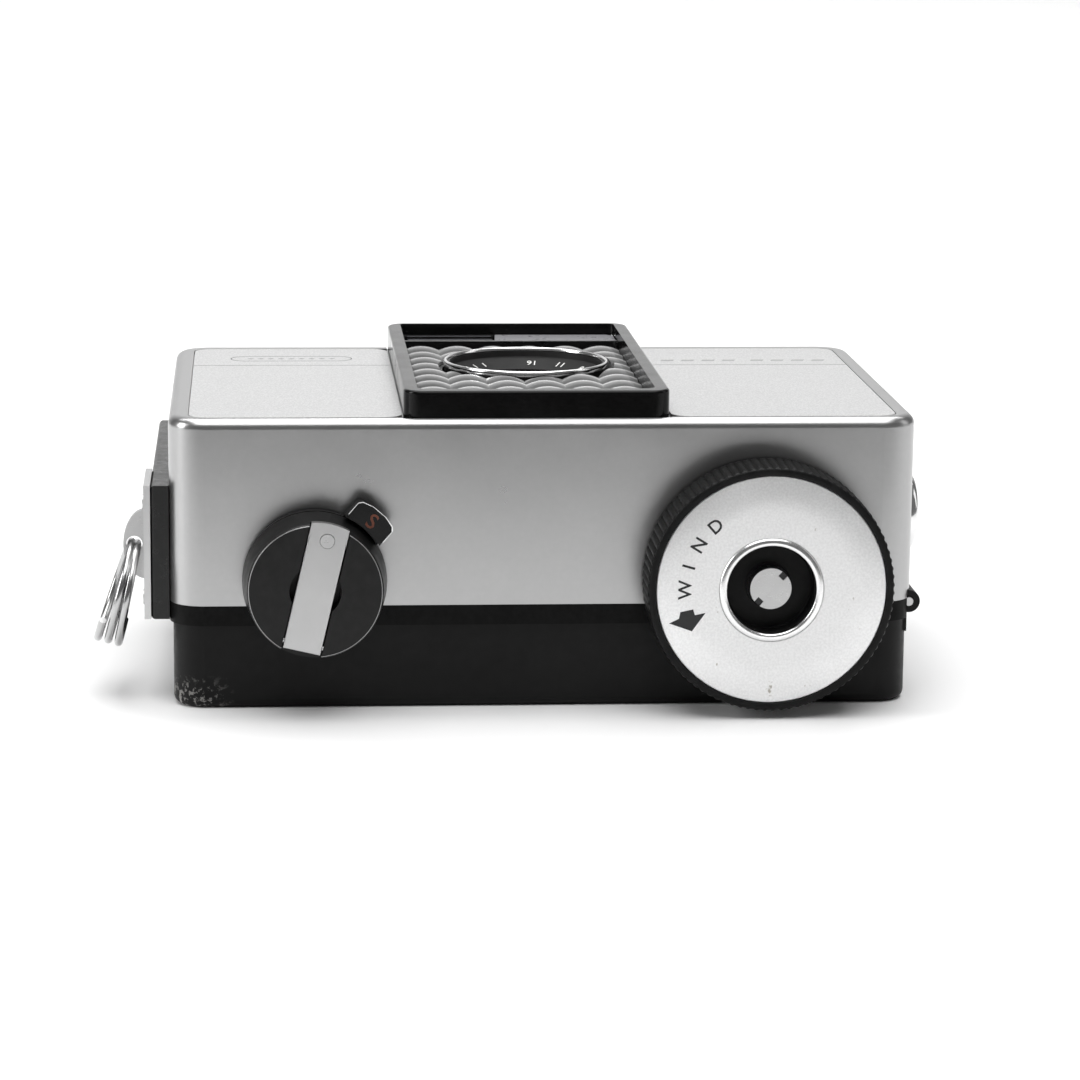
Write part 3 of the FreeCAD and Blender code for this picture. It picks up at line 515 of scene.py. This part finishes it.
def letters(mesh, text, height, place, thick=0.05, thin=0.0):
    """Add flat sans lettering of a given height, centred on a place, to a bmesh."""
    curve = bpy.data.curves.new("lettering", "FONT")
    curve.body = text
    curve.size = 1.0
    curve.offset = -thin
    curve.resolution_u = 3
    flat = curve_mesh(curve)
    part = bmesh.new()
    part.from_mesh(flat)
    bpy.data.meshes.remove(flat)
    xs = [v.co.x for v in part.verts]
    ys = [v.co.y for v in part.verts]
    grow = height / (max(ys) - min(ys))
    centre = Vector(((max(xs) + min(xs)) / 2, (max(ys) + min(ys)) / 2, 0))
    for vert in part.verts:
        vert.co = (vert.co - centre) * grow
    merge_plate(mesh, part, place, thick)


def merge_plate(mesh, part, place, thick):
    """Give a flat shape some thickness and add it to another bmesh."""
    bmesh.ops.remove_doubles(part, verts=part.verts, dist=0.0005)
    raised = bmesh.ops.extrude_face_region(part, geom=part.faces[:])
    for item in raised["geom"]:
        if isinstance(item, bmesh.types.BMVert):
            item.co.z += thick
    part.transform(place)
    data = bpy.data.meshes.new("part")
    part.to_mesh(data)
    part.free()
    mesh.from_mesh(data)
    bpy.data.meshes.remove(data)


def plate(mesh, outline, place, thick=0.05):
    """Add a flat plate with the given outline of (x, y) points."""
    part = bmesh.new()
    part.faces.new([part.verts.new((x, y, 0)) for x, y in outline])
    merge_plate(mesh, part, place, thick)


def on_dial(angle, radius, height, lean=0.0, tops_outward=True):
    """A lettering place on a dial; lean tips it towards a cone's slope."""
    turn = Matrix.Rotation(math.radians(angle - 90 + (0 if tops_outward else 180)), 4, "Z")
    tip = Matrix.Rotation(math.radians(lean if tops_outward else -lean), 4, "X")
    a = math.radians(angle)
    spot = Matrix.Translation((radius * math.cos(a), radius * math.sin(a), height))
    return spot @ turn @ tip


def wire(points, radius, name):
    """A round wire with closed ends through the points, as a mesh in metres."""
    curve = bpy.data.curves.new(name, "CURVE")
    curve.dimensions = "3D"
    curve.bevel_depth = radius * MM
    curve.bevel_resolution = 4
    curve.use_fill_caps = True
    line = curve.splines.new("POLY")
    line.points.add(len(points) - 1)
    for point, spot in zip(line.points, points):
        point.co = (*(spot * MM), 1.0)
    data = curve_mesh(curve)
    for face in data.polygons:
        face.use_smooth = True
    return data


# ---------------------------------------------------------------- wind knob

RIDGES = 92
RIDGE_DEPTH = 0.24
RIDGE_INNER = 13.9
RIDGE_BACK = 28.0
RIDGE_FADE = 0.35
KNOB_RADIUS = 14.0
KNOB_BACK = 27.82
KNOB_LAND = 34.6
DISC_FACE = 34.5
DISC_UNDER = 33.95
RECESS = 33.92
WELL_FLOOR = 31.62
WELL_RADIUS = 5.0
SHAFT_HOLE = 2.56
MARK_THICK = 0.03


def knurl(angle, radius, height):
    """Straight ridges round the grip, fading out at its back end."""
    if radius < RIDGE_INNER:
        return 0.0
    fade = min(1.0, (height - RIDGE_BACK) / RIDGE_FADE)
    return -RIDGE_DEPTH * max(0.0, fade) * (1 - abs(math.sin(RIDGES * angle / 2)))


def wind_knob():
    """The winding knob: knurled grip, silver face, polished lip and printed marks."""
    side = [(KNOB_RADIUS, 28.35 + 0.55 * i) for i in range(11)]
    grip = [(SHAFT_HOLE, KNOB_BACK), (13.5, KNOB_BACK), (13.88, RIDGE_BACK), *side, (13.98, 34.25)]
    rim = soften([(13.98, 34.3), (13.8, 34.52), (13.6, KNOB_LAND), (13.1, KNOB_LAND),
                  (13.03, DISC_FACE), (13.03, RECESS)], 0.06, 2)
    well = [(WELL_RADIUS, RECESS), (WELL_RADIUS, WELL_FLOOR + 0.2),
            (WELL_RADIUS - 0.2, WELL_FLOOR), (SHAFT_HOLE, WELL_FLOOR)]
    mesh = lathe(grip + rim + well, WIND_PLACE, RIDGES * 8, knurl, loop=True)
    make("knob_grip", mesh, "grip", "wind_knob", ["wind_knob_ring"])

    dished = [(5.95, DISC_FACE - 0.02), (6.6, DISC_FACE - 0.01), (9.0, DISC_FACE)]
    edge = [(12.85, DISC_FACE), (12.96, DISC_FACE - 0.06), (13.0, DISC_FACE - 0.15)]
    disc = [(5.95, DISC_UNDER), *dished, *edge, (13.0, DISC_UNDER)]
    mesh = lathe(disc, WIND_PLACE, 180, loop=True)
    make("knob_face", mesh, "silver", "wind_knob", ["wind_knob_disc"])

    bead = [(5.03, DISC_UNDER), (5.03, 34.5), (5.12, 34.66), (5.3, 34.74), (5.5, 34.73),
            (5.72, 34.65), (5.88, 34.54), (5.93, 34.4), (5.93, DISC_UNDER)]
    mesh = lathe(bead, WIND_PLACE, 144, loop=True)
    make("knob_lip", mesh, "lip", "wind_knob")

    marks = bmesh.new()
    for letter, angle in zip("WIND", (179.5, 164.0, 148.0, 131.2)):
        place = WIND_PLACE @ on_dial(angle, 9.8, DISC_FACE - 0.01)
        letters(marks, letter, 1.5, place, MARK_THICK, -0.012)
    arrow = [(2.03, -0.26), (0.83, -0.46), (0.48, -1.15), (-0.99, -1.05), (-1.0, -0.35),
             (-2.22, -0.26), (-0.19, 1.34)]
    turn = Matrix.Rotation(math.radians(86.2), 4, "Z")
    place = WIND_PLACE @ on_dial(199.9, 10.1, DISC_FACE - 0.01) @ turn
    plate(marks, arrow, place, MARK_THICK)
    make("knob_marks", marks, "black_ink_and_shade", "wind_knob")


def screw_head():
    """A thin head over the knob's screw, with two square notches in its rim whose floors are black
    plates of painted shade.
    """
    face = -span("wind_knob_screw")[0].y
    radius, half, depth, steps = 2.34, 0.4, 1.62, 24
    reach = math.sqrt(radius ** 2 - half ** 2)
    edge = math.degrees(math.asin(half / radius))
    head, notch_floor_shade = [], bmesh.new()
    for angle, following in ((47, 228), (228, 407)):
        out = Vector((math.cos(math.radians(angle)), math.sin(math.radians(angle))))
        side = Vector((-out.y, out.x)) * half
        notch = [out * reach - side, out * depth - side, out * depth + side, out * reach + side]
        # Black plates on the notch floors are painted shade, standing in for the shadow deep in the
        # notches.
        plate(notch_floor_shade, notch, WIND_PLACE @ Matrix.Translation((0, 0, face + 0.01)), 0.02)
        head += notch
        sweep = following - angle - 2 * edge
        for i in range(1, steps):
            a = math.radians(angle + edge + sweep * i / steps)
            head.append(Vector((math.cos(a), math.sin(a))) * radius)
    mesh = bmesh.new()
    plate(mesh, head, WIND_PLACE @ Matrix.Translation((0, 0, face + 0.01)), 0.16)
    make("screw_head", mesh, "steel", "wind_knob")
    make("screw_notch_shade", notch_floor_shade, "black_ink_and_shade", "wind_knob")


# ---------------------------------------------------------------- lens and meter window

COLUMNS = 6
ROWS = 10
DOME_TOP = WINDOW_HIGH.z - 0.1
DOME_RISE = 1.04
CELL_STEPS = 10
WINDOW_HOLE = 10.7


def dome_height(x, y, pitch):
    """The height of the moulded lens that covers a spot of the window."""
    across = math.modf(x / pitch.x)[0] * 2 - 1
    along = math.modf(y / pitch.y)[0] * 2 - 1
    return DOME_TOP - DOME_RISE * (across * across + along * along) / 2


def bubble_window():
    """Rows of moulded lens domes with a round hole for the taking lens."""
    low, high = WINDOW_LOW, WINDOW_HIGH
    pitch = Vector(((high.x - low.x) / COLUMNS, (high.y - low.y) / ROWS))
    mesh = bmesh.new()
    across, along = COLUMNS * CELL_STEPS, ROWS * CELL_STEPS
    floor = low.z + 0.02
    tops, unders = {}, {}
    for i in range(across + 1):
        for j in range(along + 1):
            x, y = pitch.x * i / CELL_STEPS, pitch.y * j / CELL_STEPS
            z = max(dome_height(x, y, pitch), floor + 0.02)
            tops[i, j] = mesh.verts.new((low.x + x, low.y + y, z))
            unders[i, j] = mesh.verts.new((low.x + x, low.y + y, floor))
    for i in range(across):
        for j in range(along):
            square = ((i, j), (i + 1, j), (i + 1, j + 1), (i, j + 1))
            mesh.faces.new([tops[spot] for spot in square])
            mesh.faces.new([unders[spot] for spot in reversed(square)])
    rim = [(i, 0) for i in range(across)] + [(across, j) for j in range(along)]
    rim += [(i, along) for i in range(across, 0, -1)] + [(0, j) for j in range(along, 0, -1)]
    for here, there in zip(rim, rim[1:] + rim[:1]):
        mesh.faces.new((tops[here], unders[here], unders[there], tops[there]))
    window = make("bubble_window", mesh, "bubble", "camera_body", ["selenium_window"])
    cutter = lathe([(0, low.z - 2), (WINDOW_HOLE, low.z - 2), (WINDOW_HOLE, high.z + 2),
                    (0, high.z + 2)], LENS_PLACE, 144)
    bmesh.ops.recalc_face_normals(cutter, faces=cutter.faces)
    cutter.transform(Matrix.Scale(MM, 4))
    tool_mesh = bpy.data.meshes.new("cutter")
    cutter.to_mesh(tool_mesh)
    cutter.free()
    tool = bpy.data.objects.new("cutter", tool_mesh)
    bpy.context.scene.collection.objects.link(tool)
    hole = window.modifiers.new("hole", "BOOLEAN")
    hole.operation = "DIFFERENCE"
    hole.solver = "EXACT"
    hole.object = tool
    drilled = evaluated_mesh(window)
    window.modifiers.clear()
    window.data = drilled
    bpy.data.objects.remove(tool)
    bpy.data.meshes.remove(tool_mesh)


def lens_rings():
    """The aperture ring: a bright bead, its wall, and a funnel that carries the scale."""
    bead = [(9.5, 34.55), (9.5, 34.98), (9.56, 35.12), (9.68, 35.19), (9.82, 35.18), (9.94, 35.1),
            (10.0, 34.96), (10.0, 34.55)]
    mesh = lathe(bead, LENS_PLACE, 180, loop=True)
    make("lens_bead", mesh, "chrome", "aperture_ring", ["lens_ring"])
    wall = soften([(9.24, 33.32), (9.9, 33.32), (9.9, 34.5), (9.46, 34.5), (9.46, 34.9),
                   (9.26, 34.86)], 0.05, 2)
    mesh = lathe(wall, LENS_PLACE, 180, loop=True)
    make("lens_ring_body", mesh, "anodised", "aperture_ring")
    inner, outer = Vector((6.35, 32.95)), Vector((9.05, 34.1))
    funnel = soften([(8.06, 29.05), (8.06, 32.4), (inner.x, 32.75), inner, outer,
                     (9.12, 34.75), (9.2, 34.75), (9.2, 29.05)], 0.06, 2)
    mesh = lathe(funnel, LENS_PLACE, 180, loop=True)
    make("aperture_funnel", mesh, "funnel", "aperture_ring", ["aperture_scale"])
    slope = math.degrees(math.atan2(outer.y - inner.y, outer.x - inner.x))
    scale_radius, scale_height, mark_thick = 7.6, 33.5, 0.05
    marks = bmesh.new()
    scale = (("16", 81), ("11", 52), ("8", 24), ("5.6", -6), ("4", -36), ("2.8", -66))
    for text, angle in scale:
        spot = on_dial(angle, scale_radius, scale_height, slope, tops_outward=False)
        letters(marks, text, 0.95, LENS_PLACE @ spot, mark_thick)
    for angle in (128, 140, 152, 164):
        spot = on_dial(angle, scale_radius, scale_height, slope)
        tick = [(-0.07, -0.4), (0.07, -0.4), (0.07, 0.4), (-0.07, 0.4)]
        plate(marks, tick, LENS_PLACE @ spot, mark_thick)
    make("aperture_numerals", marks, "white_ink", "aperture_ring")


BAR_TOP = span("viewfinder_window")[1].z + 0.04


def finder_pane():
    """The right part of the finder's front pane, covered by a flat grey plate as its painted
    reflection, and the pane's edges.
    """
    low, high = span("viewfinder_window")
    left = low.x + (high.x - low.x) * 0.43
    mesh = bmesh.new()
    inner, top = 0.35, high.z + 0.02
    # A flat grey plate over the right part of the pane: painted reflection.
    outline = [(left, low.y + 0.12), (high.x - 0.1, low.y + 0.12), (high.x - 0.1, high.y - 1.4),
               (high.x - 0.9, high.y - inner), (left + 0.35, high.y - inner)]
    plate(mesh, outline, Matrix.Translation((0, 0, top - 0.01)), 0.04)
    make("finder_pane", mesh, "pane", "camera_body")
    mesh = bmesh.new()
    back, front = high.y - 1.5, low.y + 1.3
    for y, wide in ((back, 0.16), (front, 0.3)):
        strip = [(low.x + 0.9, y), (left - 0.2, y), (left - 0.2, y + wide),
                 (low.x + 0.7, y + wide)]
        plate(mesh, strip, Matrix.Translation((0, 0, top - 0.01)), 0.03)
    make("finder_marks", mesh, "grey_ink", "camera_body")
    mesh = bmesh.new()
    sill_top = BAR_TOP + 0.09
    sill = [(low.x, BAR_TOP), (low.x, sill_top), (high.x, sill_top), (high.x, BAR_TOP)]
    tilt = Matrix.Translation((0, low.y - 0.06, 0)) @ Matrix.Rotation(math.pi / 2, 4, "X")
    plate(mesh, sill, tilt, 0.42)
    make("finder_sill", mesh, "sill", "camera_body")


def engraving():
    """Engraved lines and plain ornaments on the two front plates."""
    top = span("left_face_plate")[1].z
    lines = bmesh.new()
    place = Matrix.Translation((0, 0, top - 0.02))
    half_line = 0.07
    for name, y in (("left_face_plate", 11.6), ("right_face_plate", 11.5)):
        low, high = span(name)
        left, right = low.x + 0.05, high.x - 0.05
        strip = [(left, y - half_line), (right, y - half_line), (right, y + half_line),
                 (left, y + half_line)]
        plate(lines, strip, place, MARK_THICK)
    centre, half, round_end, arc_steps = Vector((-28.2, 16.9)), 5.6, 1.9, 16
    ring = []
    for grow in (0.0, 0.14):
        edge = []
        for side, first in ((1, -90), (-1, 90)):
            for i in range(arc_steps + 1):
                a = math.radians(first + i * 180 / arc_steps)
                reach = Vector((math.cos(a), math.sin(a))) * (round_end - grow)
                edge.append(centre + Vector((side * half, 0)) + reach)
        ring.append(edge)
    outer, inner = ring
    for i in range(len(outer)):
        j = (i + 1) % len(outer)
        plate(lines, [outer[i], outer[j], inner[j], inner[i]], place, MARK_THICK)
    make("plate_engraving", lines, "grey_ink", "camera_body")
    marks = bmesh.new()
    for i in range(9):
        x = centre.x + (i - 4) * 1.25
        lozenge = [(x - 0.42, centre.y), (x, centre.y - 0.45), (x + 0.42, centre.y),
                   (x, centre.y + 0.45)]
        plate(marks, lozenge, place, MARK_THICK)
    bars, bar_step = 4, 2.55
    for start in (17.4, 28.6):
        for i in range(bars):
            x = start + i * bar_step
            bar = [(x, 14.5), (x + 1.55, 14.5), (x + 1.85, 15.5), (x + 0.3, 15.5)]
            plate(marks, bar, place, MARK_THICK)
    make("plate_ornament", marks, "soft_ink", "camera_body")


# ---------------------------------------------------------------- side and small parts

def split_ring():
    """A little over two turns of round wire, hanging from the eye with a free end showing."""
    tilt, radius, thick = math.radians(15.5), 5.8, 0.47
    hang = Vector((-math.sin(tilt), 0, -math.cos(tilt)))
    normal = Vector((math.cos(tilt), 0, -math.sin(tilt)))
    side = Vector((0, 1, 0))
    centre = Vector((EYE.x, span("strap_lug")[0].y + 0.6, EYE.z)) + hang * radius
    turns, steps, gap = 2.3, 180, 0.95
    points = []
    for i in range(steps + 1):
        share = i / steps
        angle = math.radians(-62) + math.tau * turns * share
        away = hang * math.cos(angle) + side * math.sin(angle)
        spread = gap * turns * (share - 0.5) * (1.0 + 0.28 * math.cos(angle))
        points.append(centre + away * radius + normal * spread)
    data = wire(points, thick, "split_ring_wire")
    enlist("split_ring_wire", data, "ring", "split_ring", ["split_ring"])


def sync_socket():
    """The flash socket: a bright rolled rim round a black insulator."""
    back = span("sync_socket")[0].x
    face = HOUSING_HIGH.x
    shell = soften([(0.78, back + 0.05), (3.5, back + 0.05), (3.5, face + 0.02),
                    (4.6, face + 0.02), (4.6, face + 0.8), (4.3, face + 1.35),
                    (3.8, face + 1.6), (3.1, face + 1.65), (2.8, face + 1.4),
                    (2.7, back + 1.4), (0.78, back + 1.4)], 0.3, 4)
    mesh = lathe(shell, SOCKET_PLACE, 96, loop=True)
    make("socket_shell", mesh, "chrome", "camera_body", ["sync_socket"])
    collar = soften([(0.8, back + 1.45), (2.68, back + 1.45), (2.68, face + 0.9),
                     (2.4, face + 1.1), (1.1, face + 0.9), (0.8, face + 0.6)], 0.1)
    mesh = lathe(collar, SOCKET_PLACE, 72, loop=True)
    make("socket_insulator", mesh, "panel", "camera_body")


def lever_tab():
    """The lever's tab: a dark face with a bright edge, and its letter."""
    rise, run = math.sin(LEVER_ANGLE), math.cos(LEVER_ANGLE)
    out, along = (run, 0, rise), (rise, 0, -run)
    front = span("back_lock_lever")[0].y
    place = axes((REWIND.x, front, REWIND.z), along, out, (0, -1, 0))
    for name, grow, thick, finish in (("lever_tab_edge", 0.09, 0.10, "chrome"),
                                      ("lever_tab_face", 0.0, 0.28, "lever")):
        wide, low, high = 2.45 + grow, 8.62, 11.0 + grow
        outline = [(-wide, low), (wide, low), (wide, high - 0.75), (wide - 0.35, high - 0.35),
                   (0.9, high), (-0.9, high), (0.35 - wide, high - 0.35), (-wide, high - 0.75)]
        mesh = bmesh.new()
        plate(mesh, outline, place, thick)
        make(name, mesh, finish, "lock_lever")
    mesh = bmesh.new()
    turn = Matrix.Translation((0.0, 9.75, 0.29)) @ Matrix.Rotation(math.radians(6), 4, "Z")
    letters(mesh, "S", 1.75, place @ turn, 0.03, -0.01)
    make("lever_mark", mesh, "orange_ink", "lock_lever")


def crank_end():
    """Square shoulders on the folding crank's round end, and a bright line round the knob's rim, for
    its wear and a painted highlight.
    """
    rise, run = math.cos(CRANK_ANGLE), math.sin(CRANK_ANGLE)
    up, across = (run, 0, rise), (rise, 0, -run)
    front = span("rewind_knob")[0].y
    place = axes((REWIND.x, front + 0.9, REWIND.z), across, up, (0, -1, 0))
    half, reach, round_centre, steps = 2.15, 7.86, 5.6, 20
    first = math.asin(half / reach)
    arc = [first * (1 - 2 * i / steps) for i in range(steps + 1)]
    outline = [(reach * math.sin(a), reach * math.cos(a)) for a in arc]
    inner = [math.pi * i / steps for i in range(steps + 1)]
    outline += [(-half * math.cos(a), round_centre - 0.22 + (half - 0.22) * math.sin(a))
                for a in inner]
    mesh = bmesh.new()
    plate(mesh, outline, place, 0.96)
    make("crank_shoulder", mesh, "crank", "rewind_crank")
    # A bright metal wire round the knob's face rim: partly its worn edge, partly a painted highlight
    # on the rim.
    rim_radius, rim_sweep, rim_steps = 7.42, 144, 60
    for name, start in (("rewind_rim_right", 18), ("rewind_rim_left", 198)):
        points = []
        for i in range(rim_steps + 1):
            a = math.radians(start + i * rim_sweep / rim_steps)
            points.append(place @ Vector((rim_radius * math.sin(a), rim_radius * math.cos(a), 0.82)))
        data = wire(points, 0.07, name)
        enlist(name, data, "rim_wear_and_highlight", "rewind_knob")


def counter_numbers():
    """Frame numbers round the counter disc, read through the small window on top."""
    face = span("frame_counter_disc")[1].y
    centre = pivot("frame_counter_turn")
    place = axes((centre.x, face, centre.z), (0, 0, 1), (1, 0, 0), (0, 1, 0))
    mesh = bmesh.new()
    ticks = 14
    for i in range(ticks):
        angle = -90 + i * 360 / ticks
        if i % 2 == 0:
            letters(mesh, str(i * 2), 0.95, place @ on_dial(angle, 4.4, 0.0), 0.02)
        tick = [(-0.06, 0), (0.06, 0), (0.06, 0.55), (-0.06, 0.55)]
        plate(mesh, tick, place @ on_dial(angle, 5.5, 0.0), 0.02)
    make("counter_numbers", mesh, "black_ink_and_shade", "frame_counter")


def shutter_trim():
    """A turned trim ring round the shutter button."""
    low, high = span("button_collar")
    centre = (low + high) / 2
    place = axes((centre.x, 0, centre.z), (0, 0, 1), (1, 0, 0), (0, 1, 0))
    trim = soften([(2.95, high.y - 1.0), (4.0, high.y - 1.0), (4.0, high.y + 0.12),
                   (3.75, high.y + 0.3), (3.2, high.y + 0.3), (2.95, high.y + 0.05)], 0.12)
    mesh = lathe(trim, place, 96, loop=True)
    make("button_trim", mesh, "chrome", "camera_body")


wind_knob()
screw_head()
bubble_window()
lens_rings()
finder_pane()
engraving()
split_ring()
sync_socket()
lever_tab()
crank_end()
counter_numbers()
shutter_trim()

# ---------------------------------------------------------------- camera and light

# The stage is in metres, its lights in watts.
PAPER_FRONT = -0.175
PAPER_HALF_WIDTH = 2.5
PAPER_TOP = 2.0
SWEEP_START = 1.7
SWEEP_RADIUS = 0.6
SWEEP_STEPS = 12
CAMERA_LENS = 123.1
CAMERA_PLACE = Vector((-32.53, HOUSING_LOW.y - 408.6, 103.3)) * MM
CAMERA_PITCH, CAMERA_YAW, CAMERA_ROLL = 0.2018, 0.078, 0.0102
SKY_STRENGTH = 0.16
SOFTBOXES = (
    ("top_box", (0.0, -0.12, 0.60), (0, -0.12, 0.0), (0.60, 0.86), 5.2),
    ("back_box", (0.0, 0.75, 1.25), (0, 1.7, 0.25), (1.8, 1.0), 26.0),
    ("left_box", (-0.62, -0.12, 0.26), (0, 0, 0.02), (0.22, 0.40), 1.9),
    ("right_box", (0.62, -0.02, 0.26), (0, 0, 0.02), (0.22, 0.40), 0.3),
)


def backdrop():
    """A pale floor that curves up into a wall behind."""
    outline = [(PAPER_FRONT, 0.0), (0.3, 0.0), (1.0, 0.0), (SWEEP_START, 0.0)]
    for i in range(1, SWEEP_STEPS + 1):
        a = math.radians(90 * i / SWEEP_STEPS)
        y, z = SWEEP_START + SWEEP_RADIUS * math.sin(a), SWEEP_RADIUS * (1 - math.cos(a))
        outline.append((y, z))
    outline.append((SWEEP_START + SWEEP_RADIUS, PAPER_TOP))
    mesh = bmesh.new()
    sides = (-PAPER_HALF_WIDTH, PAPER_HALF_WIDTH)
    rows = [[mesh.verts.new((x, y, z)) for x in sides] for y, z in outline]
    for low, high in zip(rows, rows[1:]):
        face = mesh.faces.new((low[0], low[1], high[1], high[0]))
        face.smooth = True
    data = bpy.data.meshes.new("backdrop")
    mesh.to_mesh(data)
    mesh.free()
    n = Nodes("studio_paper")
    n.set(Base_Color=shade(0.88), Roughness=0.7)
    data.materials.append(n.material)
    sweep = bpy.data.objects.new("backdrop", data)
    bpy.context.scene.collection.objects.link(sweep)


def set_camera():
    """The photograph's view: a long lens, slightly above and left of the object."""
    scene = bpy.context.scene
    camera = bpy.data.objects.new("camera", bpy.data.cameras.new("camera"))
    scene.collection.objects.link(camera)
    camera.data.sensor_width = 36.0
    camera.data.lens = CAMERA_LENS
    camera.data.clip_start = 0.01
    camera.location = CAMERA_PLACE
    turn = Matrix.Rotation(-CAMERA_YAW, 3, "Z")
    turn @= Matrix.Rotation(math.pi / 2 - CAMERA_PITCH, 3, "X")
    camera.rotation_euler = (turn @ Matrix.Rotation(CAMERA_ROLL, 3, "Z")).to_euler()
    scene.camera = camera


def softbox(name, place, aim, size, power):
    """A rectangular area light at a place, facing its aim."""
    light = bpy.data.objects.new(name, bpy.data.lights.new(name, "AREA"))
    bpy.context.scene.collection.objects.link(light)
    light.data.shape = "RECTANGLE"
    light.data.size, light.data.size_y = size
    light.data.energy = power
    light.location = place
    light.rotation_euler = (Vector(aim) - Vector(place)).to_track_quat("-Z", "Y").to_euler()


def studio():
    """Plain soft light: four boxes and a faint even sky."""
    scene = bpy.context.scene
    world = bpy.data.worlds.new("studio")
    scene.world = world
    world.use_nodes = True
    sky = world.node_tree.nodes["Background"]
    sky.inputs["Color"].default_value = (1, 1, 1, 1)
    sky.inputs["Strength"].default_value = SKY_STRENGTH
    scene.view_settings.view_transform = "Standard"
    for box in SOFTBOXES:
        softbox(*box)


backdrop()
set_camera()
studio()
